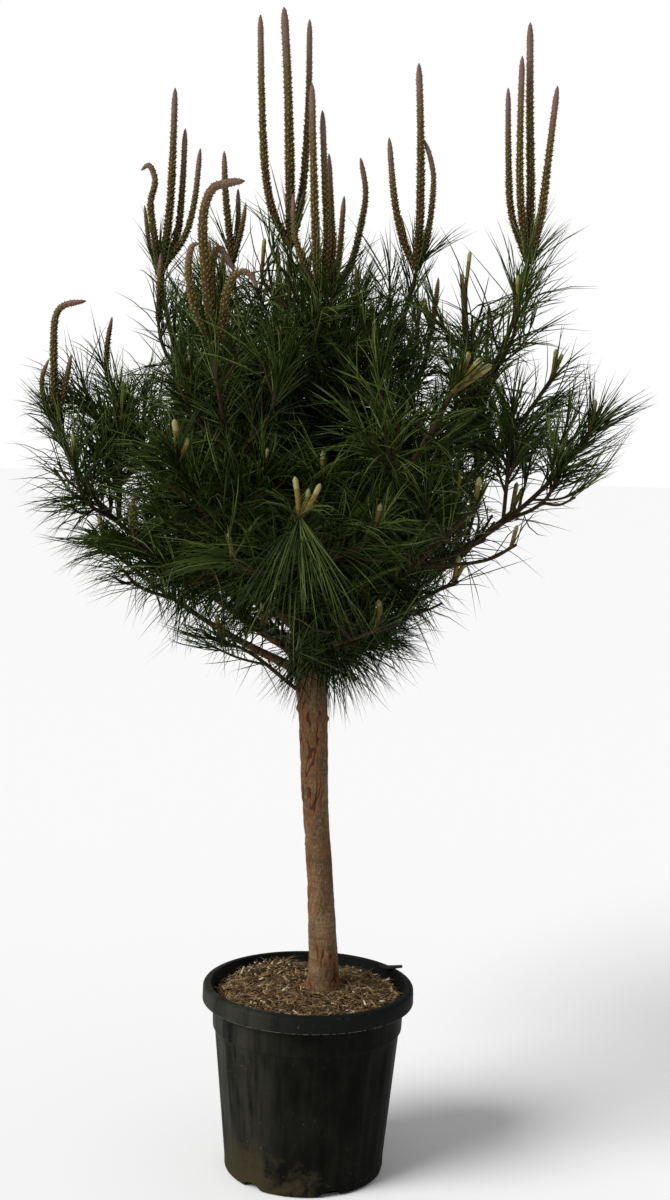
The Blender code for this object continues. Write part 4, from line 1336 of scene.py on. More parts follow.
def joined(parts: list[Arrays]) -> Arrays:
    """Several sets of points and triangles as one."""
    points, triangles, count = [], [], 0
    for some_points, some_triangles in parts:
        points.append(some_points)
        triangles.append(some_triangles + count)
        count += len(some_points)
    return np.concatenate(points), np.concatenate(triangles)


@dataclass
class CompostFill:
    """The filling: a dark lumpy bed under a litter of bark chips and fibres."""

    edge_radius: float = 0.1866
    edge: float = 0.3560
    seat: float = 0.3720
    seat_radius: float = 0.095
    depth: float = 0.030
    rings: int = 64
    steps: int = 200
    chip_count: int = 3400
    fibre_count: int = 4200
    heap: tuple[float, float, float, float] = (-0.075, 0.120, 0.050, 0.013)  # place, width and height
    fall_power: float = 1.3
    lumps: Rows = ((0.0042, 28.0), (0.0024, 75.0))  # how tall they are, and how many to the metre
    level_to: float = 0.035
    level_fade: float = 0.02
    least_lumps: float = 0.15
    sunk: float = 0.0035
    row_power: float = 0.8
    seed: int = 7
    chip_margin: float = 0.006
    chip_tilt: float = 0.30
    chip_roll: float = 0.35
    chip_lengths: Triple = (4.0, 0.0027, 0.003)  # the gamma law's shape and scale, and the least
    chip_widths: Triple = (4.0, 0.0008, 0.001)
    chip_heights: Span = (0.0007, 0.0018)
    chip_lift: Triple = (0.0015, 0.3, 0.003)  # for all, for the tilt, and at random
    chip_tapers: Span = (0.25, 1.0)
    fibre_margin: float = 0.012
    fibre_lift: Span = (0.001, 0.0055)
    fibre_slope: Span = (0.06, 0.12)
    fibre_bend: float = 0.34
    fibre_flat: float = 0.3
    fibre_lengths: Triple = (3.0, 0.0085, 0.006)
    fibre_widths: Span = (0.0006, 0.0015)
    fibre_profile: Triple = (1.0, 1.0, 0.8)
    wall_room: float = 0.004

    def height(self, x: float, y: float) -> float:
        """The bed's height at a place: the seat, the fall to the wall, a heap at the back and lumps."""
        radius = math.hypot(x, y)
        fall = max(0.0, (radius - self.seat_radius) / (self.edge_radius - self.seat_radius))
        z = self.seat + (self.edge - self.seat) * fall**self.fall_power
        hx, hy, wide, tall = self.heap
        z += tall * math.exp(-((x - hx) ** 2 + (y - hy) ** 2) / wide**2)
        place = Vector((x, y, 0.0))
        lumps = sum(rise * noise.noise(place * scale) for rise, scale in self.lumps)
        _, stem_x, stem_y = STEM.axis[0]
        clear = (math.hypot(x - stem_x, y - stem_y) - self.level_to) / self.level_fade
        return z + lumps * min(1.0, max(self.least_lumps, clear)) - self.sunk

    def bed(self) -> bpy.types.Mesh:
        """The bed as a mesh: a disc with a skirt down the pot's wall, closed underneath."""
        radii = self.edge_radius * np.linspace(0.0, 1.0, self.rings) ** self.row_power
        profile = [(r, self.seat) for r in radii] + [(self.edge_radius, self.seat - self.depth)]
        profile.append((0.0, self.seat - self.depth))
        bm = turned(profile, self.steps, 1e-6)
        for vert in bm.verts:
            if vert.co.z > self.seat - self.depth / 2:
                vert.co.z = self.height(vert.co.x, vert.co.y)
        return finished(bm, "compost_bed")

    def places(self, count: int, rng: np.random.Generator, margin: float) -> np.ndarray:
        """Places spread evenly over the bed, this far in from the wall."""
        radii = (self.edge_radius - margin) * np.sqrt(rng.uniform(0.0, 1.0, count))
        turns = rng.uniform(0.0, math.tau, count)
        xs, ys = radii * np.cos(turns), radii * np.sin(turns)
        return np.array([(x, y, self.height(x, y)) for x, y in zip(xs, ys)])

    def lay_chips(self, rng: np.random.Generator) -> tuple[np.ndarray, ...]:
        """The chips' middles, frames, sizes and tapers."""
        centres = self.places(self.chip_count, rng, self.chip_margin)
        count = len(centres)
        turns = rng.uniform(0.0, math.tau, count)
        tilts = rng.normal(0.0, self.chip_tilt, count)
        ways = [np.cos(turns) * np.cos(tilts), np.sin(turns) * np.cos(tilts), np.sin(tilts)]
        ways = np.stack(ways, axis=1)
        ups = unit(np.cross(ways, np.cross(rng.normal((0, 0, 1.0), self.chip_roll, (count, 3)), ways)))
        frames = np.stack([ways, np.cross(ups, ways), ups], axis=1)
        sizes = [rng.gamma(*law[:2], count) + law[2] for law in (self.chip_lengths, self.chip_widths)]
        sizes = np.stack([*sizes, rng.uniform(*self.chip_heights, count)], axis=1)
        lift, tilted, loose = self.chip_lift
        centres[:, 2] += lift + np.abs(np.sin(tilts)) * sizes[:, 0] * tilted + rng.uniform(0, loose, count)
        return centres, frames, sizes, rng.uniform(*self.chip_tapers, count)

    def lay_fibres(self, rng: np.random.Generator) -> Strands:
        """The fibres. One that would cross the pot's wall points the other way."""
        roots = self.places(self.fibre_count, rng, self.fibre_margin)
        count = len(roots)
        roots[:, 2] += rng.uniform(*self.fibre_lift, count)
        turns = rng.uniform(0.0, math.tau, count)
        ways = unit(np.stack([np.cos(turns), np.sin(turns), rng.normal(*self.fibre_slope, count)], axis=1))
        bends = rng.normal(0.0, self.fibre_bend, (count, 3)) * (1.0, 1.0, self.fibre_flat)
        lengths = rng.gamma(*self.fibre_lengths[:2], count) + self.fibre_lengths[2]
        tips = roots + lengths[:, None] * (ways + bends)
        ways[np.hypot(*tips[:, :2].T) > self.edge_radius - self.wall_room] *= (-1.0, -1.0, 1.0)
        widths = rng.uniform(*self.fibre_widths, count)
        return Strands(roots, ways, bends, lengths, widths, self.fibre_profile)

    def litter(self) -> dict[Litter, Arrays]:
        """The loose chips and fibres, by colour."""
        rng = np.random.default_rng(self.seed)
        flat, fibres = self.lay_chips(rng), self.lay_fibres(rng)
        shares = [kind.share for kind in Litter]
        chip_kinds = rng.choice(len(Litter), len(flat[0]), p=shares)
        fibre_kinds = rng.choice(len(Litter), len(fibres.roots), p=shares)
        found = {}
        for index, kind in enumerate(Litter):
            some = chips(*(rows[chip_kinds == index] for rows in flat))
            found[kind] = joined([some, fibres.chosen(fibre_kinds == index).arrays()])
        return found

    def build(self) -> None:
        """Makes the bed and its litter and dresses them."""
        add_piece("compost_bed", self.bed(), DarkCompost().material(), ["compost"])
        for kind, arrays in self.litter().items():
            name = kind.finish.name
            add_piece(name, mesh_of(name, *arrays), kind.finish.material(), ["compost"])
        BarkFlake().build()


@dataclass
class BarkFlake:
    """A curled flake of bark that lies over the rim at the back right."""

    length: float = 0.052
    width: float = 0.017
    thickness: float = 0.0014
    cells: tuple[int, int] = (14, 6)
    narrowing: Span = (0.55, 2.5)  # how much and how suddenly it narrows to its ends
    fray: Span = (0.12, 9.0)
    curl: Span = (0.003, 0.004)  # across and along
    at: Triple = (0.166, 0.100, 0.3835)
    turn: float = math.radians(22.0)
    tilt: float = math.radians(5.0)

    def mesh(self) -> bpy.types.Mesh:
        """The flake's mesh, in place."""
        bm = bmesh.new()
        bmesh.ops.create_grid(bm, x_segments=self.cells[0], y_segments=self.cells[1], size=0.5)
        fray, scale = self.fray
        across, along_it = self.curl
        for vert in bm.verts:
            x, y = vert.co.x, vert.co.y
            ragged = 1.0 - self.narrowing[0] * abs(2 * x) ** self.narrowing[1]
            ragged += fray * noise.noise(Vector((x * scale, y * scale, 3.0)))
            rise = across * (1 - 4 * y * y) + along_it * x * x
            vert.co = (self.length * x, self.width * y * ragged, rise)
        bmesh.ops.solidify(bm, geom=bm.faces[:], thickness=self.thickness)
        place = Matrix.Translation(self.at) @ Matrix.Rotation(self.turn, 4, "Z")
        bmesh.ops.transform(bm, matrix=place @ Matrix.Rotation(self.tilt, 4, "Y"), verts=bm.verts)
        return finished(bm, "bark_flake", 50.0)

    def build(self) -> None:
        """Makes the flake and dresses it."""
        flake = PlainFinish("flake_bark", (0.026, 0.020, 0.017), 0.85, 0.25)
        add_piece("bark_flake", self.mesh(), flake.material(), ["compost"])


# The stem and the boughs


class Knot(NamedTuple):
    """A healed branch scar: where it stands on the stem, its size and how far it stands out."""

    z: float
    azimuth: float
    size: float
    rise: float


@dataclass
class BarkRelief:
    """The bark's surface: plates parted by fissures, fine rings and healed scars."""

    seed: int = 1795663379  # without one, Blender seeds its vector noise by the clock
    across: float = 92.0
    lengthways: float = 0.16
    warps: Rows = ((0.006, 30.0), (0.002, 95.0))  # how far fissures wander, and how many times to the metre
    layers: Rows = ((1.0, 1.0), (2.1, 0.6))  # how fine each layer of fissures is, and how deep
    shift: Triple = (7.3, 1.9, 4.1)
    fissure_width: float = 0.27
    fissure_depth: float = 0.0028
    broken: Span = (0.5, 0.9)
    broken_at: Span = (0.45, 24.0)  # how long the unbroken stretches are, and how many to the metre
    turned: Span = (0.75, 0.35)  # how strongly fissures show, and how much more on the left
    bough_strength: float = 0.8
    contrast: float = 1.9
    plate_rise: float = 0.0016
    plates: Triple = (0.6, 0.6, 70.0)  # share of the rise, length, and how many to the metre
    rings: Triple = (0.35, 14.0, 210.0)  # share of the rise, and how many across and along
    ring_fade: float = 1.2
    knot_height: float = 1.15
    knot_reach: float = 2.0
    knot_fall: float = 2.2
    knot_ring: Triple = (0.75, 30.0, 0.85)  # depth, sharpness and place of the split round a knot, which takes the rust and, deepest, the painted shade
    strengths: Rows = (
        (0.37, 1.00),
        (0.44, 0.90),
        (0.48, 0.35),
        (0.60, 0.50),
        (0.66, 1.05),
        (1.00, 1.25),
        (1.20, 0.90),
        (1.70, 0.45),
    )
    knots: tuple[Knot, ...] = (
        Knot(0.867, -96.0, 0.0125, 0.0022),
        Knot(0.855, -38.0, 0.0085, -0.0030),
        Knot(0.932, -178.0, 0.0090, 0.0052),
        Knot(0.913, -4.0, 0.0065, 0.0030),
        Knot(0.975, -120.0, 0.0100, 0.0030),
        Knot(0.640, 120.0, 0.0110, 0.0025),
        Knot(0.790, 70.0, 0.0110, 0.0030),
    )

    def cracks(self, place: Vector) -> float:
        """How deep a place lies in a long wandering fissure between two plates, from 0 to 1."""
        at = place + sum((far * noise.noise_vector(place * scale) for far, scale in self.warps), Vector())
        deepest = 0.0
        for scale, share in self.layers:
            spot = Vector((at.x, at.y, at.z * self.lengthways)) * self.across * scale
            valley = abs(noise.noise(spot + Vector(self.shift) * scale))
            deepest = max(deepest, share * (1.0 - valley / self.fissure_width))
        return deepest

    def at(self, place: Vector, turn: float, on_stem: bool) -> Span:
        """The surface's rise in metres and the fissure's depth from 0 to 1.

        Args:
            place: the point on the smooth limb.
            turn: its angle round the limb.
            on_stem: whether it is on the stem, where knots and bare stretches are.

        Returns:
            The rise and the depth.
        """
        strength = float(np.interp(place.z, *zip(*self.strengths))) if on_stem else self.bough_strength
        stretch_of, scale = self.broken_at
        patches = noise.noise(Vector((place.x, place.y, place.z * stretch_of)) * scale)
        broken = self.broken[0] + self.broken[1] * patches
        reddish = self.turned[0] - self.turned[1] * math.cos(turn) if on_stem else self.bough_strength
        depth = eased(self.cracks(place) * max(0.0, min(1.0, self.contrast * strength * broken * reddish)))
        share, length, scale = self.plates
        plates = share * noise.noise(Vector((place.x, place.y, place.z * length)) * scale)
        share, across, along_it = self.rings
        rings = share * noise.noise(Vector((place.x * across, place.y * across, place.z * along_it)))
        rise = self.plate_rise * (plates + rings * (self.ring_fade - strength)) - self.fissure_depth * depth
        deep, sharp, middle = self.knot_ring
        for knot in self.knots if on_stem else ():
            around = math.remainder(turn - math.radians(knot.azimuth), math.tau) * STEM.radius(knot.z)
            gap = math.hypot(around, (place.z - knot.z) * self.knot_height) / knot.size
            if gap < self.knot_reach:
                rise += knot.rise * math.exp(-self.knot_fall * gap * gap)
                depth = max(depth, deep * math.exp(-sharp * (gap - middle) ** 2))
        return rise, min(1.0, depth)


@dataclass
class Limbs:
    """The stem and the boughs, with the bark's relief in their meshes."""

    stem_sides: int = 96
    stem_step: float = 0.0024
    stem_rounds: int = 12
    foot_sunk: float = 0.004
    bough_sides: int = 18
    bough_step: float = 0.0050
    bough_points: int = 24
    collar: Span = (0.16, 9.0)  # how much thicker a bough's foot is, and how suddenly
    full_relief: float = 0.024  # the radius from which the relief is at full strength
    relief: BarkRelief = field(default_factory=BarkRelief)

    def carve(self, mesh: bpy.types.Mesh, paths: list[Tube], on_stem: bool) -> None:
        """Moves a smooth limb's points by the relief, and stores each point's depth in a fissure.

        Args:
            mesh: the limb's mesh.
            paths: the limb's axes and radii, as it was made from.
            on_stem: whether it is the stem.
        """
        depths = mesh.attributes.new("fissure", "FLOAT", "POINT")
        axis = np.concatenate([np.array(path) for path, _ in paths])
        tree = KDTree(len(axis))
        for index, point in enumerate(axis):
            tree.insert(point, index)
        tree.balance()
        for vert in mesh.vertices:
            centre = Vector(axis[tree.find(vert.co)[1]])
            out = vert.co - centre
            if out.length < 1e-5:
                continue
            rise, depth = self.relief.at(vert.co, math.atan2(out.y, out.x), on_stem)
            thin = min(1.0, out.length / self.full_relief)
            vert.co += out.normalized() * rise * thin
            depths.data[vert.index].value = depth
        mesh.update()

    def stem(self) -> bpy.types.Mesh:
        """The stem from its flat foot to the leader."""
        count = round((STEM.top - STEM.foot) / self.stem_step)
        heights = np.linspace(STEM.foot, STEM.top, count)
        path = smoothed([STEM.point(z) for z in heights], self.stem_rounds)
        paths = [(path, np.array([STEM.radius(z) for z in heights]))]
        mesh = rolled_tubes("stem", paths, self.stem_sides)
        self.carve(mesh, paths, True)
        for vert in mesh.vertices:
            vert.co.z = max(vert.co.z, STEM.foot - self.foot_sunk)
        return mesh

    def boughs(self) -> bpy.types.Mesh:
        """All the boughs, each one tapering limb with a swollen collar."""
        rule = BRANCH_RULE
        paths = []
        for branch in BOUGHS:
            rough = stretch(rule.curve(branch), 0.0, rule.bough_share, self.bough_points)
            path = smooth_path(rough, self.bough_step)
            shares = np.linspace(0.0, 1.0, len(path))
            radii = branch.girth * (1.0 + (rule.bough_tip - 1.0) * shares)
            radii *= 1.0 + self.collar[0] * np.exp(-shares * self.collar[1])
            paths.append((path, radii))
        mesh = rolled_tubes("boughs", paths, self.bough_sides)
        self.carve(mesh, paths, False)
        return mesh

    def build(self) -> None:
        """Makes the stem and the boughs and dresses them."""
        noise.seed_set(self.relief.seed)
        add_piece("stem", self.stem(), PineBark("stem_bark").material(), ["trunk"])
        bark = PineBark("bough_bark", plate=(0.075, 0.042, 0.020), pale=(0.120, 0.070, 0.036), rusty=0.6)
        add_piece("boughs", self.boughs(), bark.material(), nodes_named("bough_"))


def smoothed(path: Path, rounds: int) -> Path:
    """A path with its corners eased, and its ends where they were."""
    points = np.array(path)
    for _ in range(rounds):
        points[1:-1] = (points[:-2] + 2.0 * points[1:-1] + points[2:]) / 4.0
    return [Vector(point) for point in points]


# The crown


class Tone(Enum):
    """The greens that sprays are dealt, and the straw of dead needles. The deep and inner greens are
    near-black, painted shade inside the crown, and the lit green is pale, painted light outside it.
    """

    DEEP = PlainFinish("needles_deep", (0.0080, 0.0130, 0.0012), 0.60, 0.04)
    FOREST = PlainFinish("needles_forest", (0.0170, 0.0290, 0.0030), 0.55, 0.06)
    GRASS = PlainFinish("needles_grass", (0.0340, 0.0560, 0.0070), 0.48, 0.12)
    BLUISH = PlainFinish("needles_bluish", (0.0250, 0.0430, 0.0095), 0.45, 0.12)
    LIT = PlainFinish("needles_lit", (0.1000, 0.1350, 0.0330), 0.45, 0.15)
    STRAW = PlainFinish("needles_straw", (0.160, 0.105, 0.045), 0.60, 0.12)
    INNER = PlainFinish("needles_inner", (0.0075, 0.0115, 0.0014), 0.65, 0.03)

    @property
    def profile(self) -> tuple[float, ...]:
        """Its needles' girths from foot to tip. Those inside the crown have fewer faces."""
        return (1.60, 1.50) if self is Tone.INNER else (0.80, 1.0, 0.72)


@dataclass(frozen=True)
class Habit:
    """How a branch carries its needles.

    Lengths are in metres and angles in degrees. The spread is measured from the twig, at its foot and
    at its tip, and the hang is how far a needle's tip droops, as a share of its length. The stiffness is
    how much less the needles near the twig's tip droop, and the tuft is the share of a shoot's needles
    that stand round its very tip.
    """

    pitch: float
    spread: Span
    lengths: Span
    hang: Span
    under: float = 0.6  # share kept of the needles that point down
    twigs: float = 1.0  # how closely its finer twigs stand
    stiffness: float = 0.75
    tuft: float = 0.15
    tuft_spread: Span = (6.0, 42.0)
    weep: float = 0.0  # how far the tuft's needles set off downwards


class Bearing(Enum):
    """The habits, by where a branch grows."""

    UPRIGHT = Habit(0.0035, (56.0, 14.0), (0.110, 0.165), (0.04, 0.50), twigs=0.80, tuft=0.22)
    SPREADING = Habit(0.0020, (54.0, 14.0), (0.120, 0.172), (0.15, 0.75), 0.8, 1.00, stiffness=0.55)
    LOW = Habit(0.0020, (56.0, 24.0), (0.115, 0.165), (0.40, 1.00), 1.0, 0.90, stiffness=0.35)
    INNER = Habit(0.0020, (76.0, 26.0), (0.090, 0.135), (0.20, 0.70), 1.0)
    FAN = Habit(
        0.0026, (62.0, 38.0), (0.150, 0.215), (0.50, 1.10), 1.0, stiffness=0.15, tuft=0.62,
        tuft_spread=(30.0, 120.0), weep=1.25,
    )
    DROOPING = Habit(
        0.0020, (60.0, 26.0), (0.140, 0.190), (0.35, 0.95), 1.0, stiffness=0.25, tuft=0.40,
        tuft_spread=(15.0, 80.0), weep=0.35,
    )
    SKIRT = Habit(0.0017, (84.0, 40.0), (0.105, 0.150), (0.75, 1.20), 1.0)

    def drooping(self) -> bool:
        """Whether its needles hang in tufts at the front, which are dealt pale greens as painted light."""
        return self in (Bearing.FAN, Bearing.DROOPING)

    @classmethod
    def of(cls, branch: Branch) -> "Bearing":
        """The habit of a branch."""
        if branch.name == "mid_front":
            return cls.FAN
        if branch.name == "mid_front_right":
            return cls.DROOPING
        if branch.name.startswith("low_near"):
            return cls.SKIRT
        kinds = {"low": cls.LOW, "mid": cls.SPREADING}
        return kinds.get(branch.name.split("_")[0], cls.UPRIGHT)


class StemTwigs(NamedTuple):
    """Small twigs straight from the stem: how many, between which heights, and how far they reach."""

    bearing: Bearing
    count: int
    span: Span
    sizes: Span  # how far their upper halves reach out
    rise: float  # how much their lower halves rise
    lean: float  # how much further they reach to the right
    from_x: float  # how far they may point to the left

    def grow(self, out_by: float, curl: float, rng: random.Random) -> list[Path]:
        """Their axes.

        Args:
            out_by: how far their lower halves reach out.
            curl: how much their upper halves rise as they reach out.
            rng: the crown's own random numbers.

        Returns:
            Three points for each.
        """
        paths = []
        for number in range(self.count):
            start = STEM.point(self.span[0] + (self.span[1] - self.span[0]) * number / self.count)
            out = Vector((math.cos(number * GOLDEN_ANGLE), math.sin(number * GOLDEN_ANGLE), 0.0))
            middle = start + out_by * out + self.rise * UP
            size = max(self.sizes[0], rng.uniform(*self.sizes) + self.lean * out.x)
            if out.x > self.from_x:
                paths.append([start, middle, middle + size * (out + curl * UP)])
        return paths


STEM_TWIGS = (
    StemTwigs(Bearing.INNER, 84, (1.08, 1.60), (0.03, 0.17), 0.03, 0.0, -2.0),
    StemTwigs(Bearing.SKIRT, 34, (1.02, 1.09), (0.01, 0.05), 0.0, 0.03, -0.30),
)


class Opening(NamedTuple):
    """A place where sky shows through the crown: its middle, half its sizes, and the needles kept."""

    x: float
    z: float
    wide: float
    high: float
    kept: float

    def spans(self, x: np.ndarray, z: np.ndarray) -> np.ndarray:
        """Whether places, seen from the front, lie in it."""
        return np.hypot((x - self.x) / self.wide, (z - self.z) / self.high) < 1.0


OPENINGS = (
    Opening(-0.468, 1.615, 0.080, 0.044, 0.30),
    Opening(-0.359, 1.702, 0.037, 0.061, 0.15),
    Opening(-0.365, 1.626, 0.030, 0.035, 0.10),
    Opening(-0.380, 1.825, 0.021, 0.083, 0.25),
    Opening(-0.155, 1.824, 0.039, 0.054, 0.12),
    Opening(0.020, 1.833, 0.023, 0.046, 0.20),
    Opening(0.266, 1.769, 0.074, 0.047, 0.06),
    Opening(0.214, 1.724, 0.045, 0.022, 0.75),
    Opening(0.426, 1.600, 0.048, 0.039, 0.20),
    Opening(0.380, 1.556, 0.037, 0.043, 0.24),
    Opening(0.384, 1.368, 0.068, 0.041, 0.05),
    Opening(0.464, 1.343, 0.068, 0.041, 0.08),
    Opening(0.346, 1.299, 0.056, 0.040, 0.30),
    Opening(0.397, 1.227, 0.093, 0.096, 0.08),
    Opening(0.303, 1.210, 0.056, 0.052, 0.35),
    Opening(0.332, 1.156, 0.072, 0.049, 0.05),
    Opening(0.259, 1.131, 0.049, 0.031, 0.40),
    Opening(-0.539, 1.387, 0.049, 0.059, 0.22),
    Opening(-0.404, 1.176, 0.069, 0.049, 0.25),
    Opening(-0.352, 1.114, 0.062, 0.029, 0.30),
    Opening(-0.116, 1.029, 0.042, 0.052, 0.12),
)


@dataclass
class Spray:
    """A leafy twig: its branch, its axis, its order from 0 (a leading shoot) to 2, and its habit."""

    branch: Branch
    path: Path
    order: int
    bearing: Bearing


@dataclass(frozen=True)
class ToneRule:
    """How the greens are dealt: a spray is lighter the further out and the higher it ends, as painted light,
    and darker further in, as painted shade.
    """

    outer_reach: float = 0.45
    top: Span = (1.45, 0.3)  # where the top starts, and how far it takes to full light
    light: Triple = (0.42, 0.40, 0.55)  # painted light: inside and low, more outside, and more at the top
    most_light: float = 1.3
    deep: Triple = (0.05, 0.95, 1.15)  # painted shade's weight: the least, the share, and the light that leaves none
    forest: float = 0.60
    grass: float = 0.46
    bluish: float = 0.26
    lit: float = 0.36
    straw: Triple = (0.012, 0.030, 0.004)  # low down, more in the shade, and higher up
    straw_under: float = 1.25
    # The tones of the front tufts, weighted to pale greens as painted light.
    fan: tuple[float, ...] = (0.05, 0.30, 0.70, 0.25, 1.10, 0.005, 0.0)

    def weights(self, spray: Spray) -> np.ndarray:
        """How likely each tone is for a spray's needles, in the tones' own order."""
        tip = spray.path[-1]
        outer = min(1.0, STEM.reach(tip) / self.outer_reach)
        high = min(1.0, max(0.0, (tip.z - self.top[0]) / self.top[1]))
        # Painted light: sprays further out and higher up get paler greens, and those further in more of the
        # deep shade tone.
        light = min(self.most_light, self.light[0] + self.light[1] * outer + self.light[2] * high)
        low_straw, shade_straw, straw = self.straw
        if tip.z < self.straw_under:
            straw = low_straw + shade_straw * (1.0 - light)
        least, share, lightest = self.deep
        deep = max(least, share * (lightest - light))
        weights = [deep, self.forest, self.grass * light, self.bluish * light, self.lit * light * light]
        weights += [straw, 0.0]
        # The front tufts take the paler fan tones: painted light.
        weights = np.array(self.fan if spray.bearing.drooping() and spray.order < 2 else weights)
        return weights / weights.sum()


@dataclass
class Crown:
    """The twigs and needles: the skeleton's shoots carried on to finer twigs within the same reach."""

    tree: Skeleton
    twig_pitch: float = 0.046
    twig_share: Span = (0.34, 0.54)
    twig_least: float = 0.070
    twig_spread: Span = (30.0, 52.0)
    inner_span: Span = (0.14, 0.62)
    inner_length: float = 0.22
    inner_reach: float = 0.25
    inner_top: float = 1.55
    inner_crowding: float = 0.42
    inner_points: int = 6
    path_step: float = 0.012
    stem_out: float = 0.07
    stem_curl: float = 0.8
    twig_jitter: Span = (0.2, 0.8)
    twig_fall: Span = (1.15, 0.45)
    twig_curl: Span = (0.10, 0.45)
    twig_luck: Span = (0.6, 1.0)
    twig_over: float = 0.01
    twig_above: float = 0.015
    twig_zone: Span = (0.20, 0.88)
    twig_girths: Span = (0.0042, 0.0028)  # of orders 1 and 2
    twig_end: Span = (0.55, 0.0008)  # a share of the girth, and more
    twig_sides: int = 6
    tuft_from: float = 0.93
    crowding: Span = (0.62, 0.85)  # towards the tips of shoots and of twigs
    spread_power: float = 1.1
    pair_spread: float = 0.035
    out_bend: float = 0.05
    level_hang: Span = (0.35, 0.65)
    foot_hang: float = 1.15
    size_swell: Span = (0.86, 0.16)
    size_luck: Span = (0.94, 1.0)
    width_luck: Span = (0.80, 1.15)
    level: float = -0.10
    tested: Triple = (0.3, 0.65, 1.0)
    most_lift: float = 0.50
    lift_slack: float = 0.15
    least_cut: float = 0.38
    least_share: float = 0.10
    least_in_box: float = 0.2
    edge_noise: Span = (0.024, 0.014)
    more_lean: float = 0.14
    fan_slack: float = 0.15
    open_above: float = 1.50
    open_twigs: float = 2.0
    eye: Triple = CAMERA_AT
    painted_shade_core: Triple = (0.17, 1.16, 1.60)
    needle_width: float = 0.0025
    bare: Triple = (0.10, 0.16, 0.08)
    angle_noise: float = 14.0
    roll_noise: float = 0.60
    bend_noise: Span = (0.11, 0.05)
    own_tone: float = 0.42
    twig_seed: int = 97
    needle_seed: int = 23
    tones: ToneRule = ToneRule()
    sprays: list[Spray] = field(default_factory=list)

    def grow_sprays(self) -> None:
        """Takes the skeleton's shoots and grows finer twigs from them, from the boughs and from the stem."""
        rng = random.Random(self.twig_seed)
        leading = set()
        for shoot in self.tree.shoots:
            order = 0 if shoot.branch.name not in leading else 1
            leading.add(shoot.branch.name)
            path = smooth_path(shoot.points, self.path_step)
            bearing = Bearing.of(shoot.branch)
            if order and bearing is Bearing.FAN:
                bearing = Bearing.DROOPING
            self.sprays.append(Spray(shoot.branch, path, order, bearing))
            self.grow_twigs(shoot, path, length_of(path), rng)
        for branch in BOUGHS:
            if not branch.name.startswith("low"):
                points = stretch(BRANCH_RULE.curve(branch), *self.inner_span, self.inner_points)
                path = smooth_path(points, self.path_step)
                self.grow_twigs(Shoot(branch, points, ()), path, self.inner_length, rng, True)
        for kind in STEM_TWIGS:
            for path in kind.grow(self.stem_out, self.stem_curl, rng):
                self.sprays.append(Spray(LEADER, smooth_path(path, self.path_step), 2, kind.bearing))

    def grow_twigs(
        self, shoot: Shoot, path: Path, length: float, rng: random.Random, inside: bool = False
    ) -> None:
        """Grows the finer twigs of one shoot or bough, whose size follows this length."""
        bearing = Bearing.of(shoot.branch)
        pitch = self.twig_pitch * (self.inner_crowding if inside else 1.0)
        count = max(2, round(length_of(path) / pitch))
        first = rng.uniform(0.0, math.tau)
        low, high = self.twig_zone
        for number in range(count):
            share = low + (high - low) * (number + rng.uniform(*self.twig_jitter)) / count
            twig = self.twig(shoot, path, share, first + number * GOLDEN_ANGLE, length, rng)
            if twig:
                tip = twig.path[-1]
                close = bearing is Bearing.UPRIGHT and tip.z < self.open_above
                if inside or (STEM.reach(tip) < self.inner_reach and tip.z < self.inner_top):
                    twig.bearing = Bearing.INNER
                elif bearing is Bearing.FAN:
                    twig.bearing = Bearing.DROOPING
                elif close:
                    twig.bearing = Bearing.SPREADING
                chance = 1.0 if inside or close else bearing.value.twigs
                kept = min(1.0, self.open_twigs * self.kept_share(np.array([tip]))[0])
                if rng.random() < chance * kept:
                    self.sprays.append(twig)

    def twig(
        self, shoot: Shoot, path: Path, share: float, roll: float, length: float, rng: random.Random
    ) -> Spray | None:
        """A finer twig from a shoot, or None where it would leave the branch's own reach.

        Args:
            shoot: the shoot that it grows from.
            path: the shoot's smooth axis.
            share: where on the shoot it starts.
            roll: the side that it grows to.
            length: the shoot's length.
            rng: the crown's own random numbers.

        Returns:
            The twig.
        """
        start, way = along(path, share)
        spread = math.radians(rng.uniform(*self.twig_spread))
        fall = self.twig_fall[0] - self.twig_fall[1] * share
        size = max(self.twig_least, length * rng.uniform(*self.twig_share) * fall)
        heading = math.cos(spread) * way + math.sin(spread) * sideways(way, roll)
        curl = self.twig_curl[0] + self.twig_curl[1] * shoot.branch.lift * rng.uniform(*self.twig_luck)
        bent = heading.lerp(UP, curl).normalized()
        middle = start + 0.5 * size * heading
        tip = middle + 0.5 * size * bent
        limit = max(SHOOT_RULE.least_reach, SHOOT_RULE.lateral_reach * shoot.branch.reach)
        too_high = tip.z > shoot.branch.tip + self.twig_over
        if STEM.reach(tip) > limit or too_high or OUTLINE.above(np.array(tip)) < self.twig_above:
            return None
        path = smooth_path([start, middle, tip], self.path_step)
        return Spray(shoot.branch, path, 2, Bearing.of(shoot.branch))

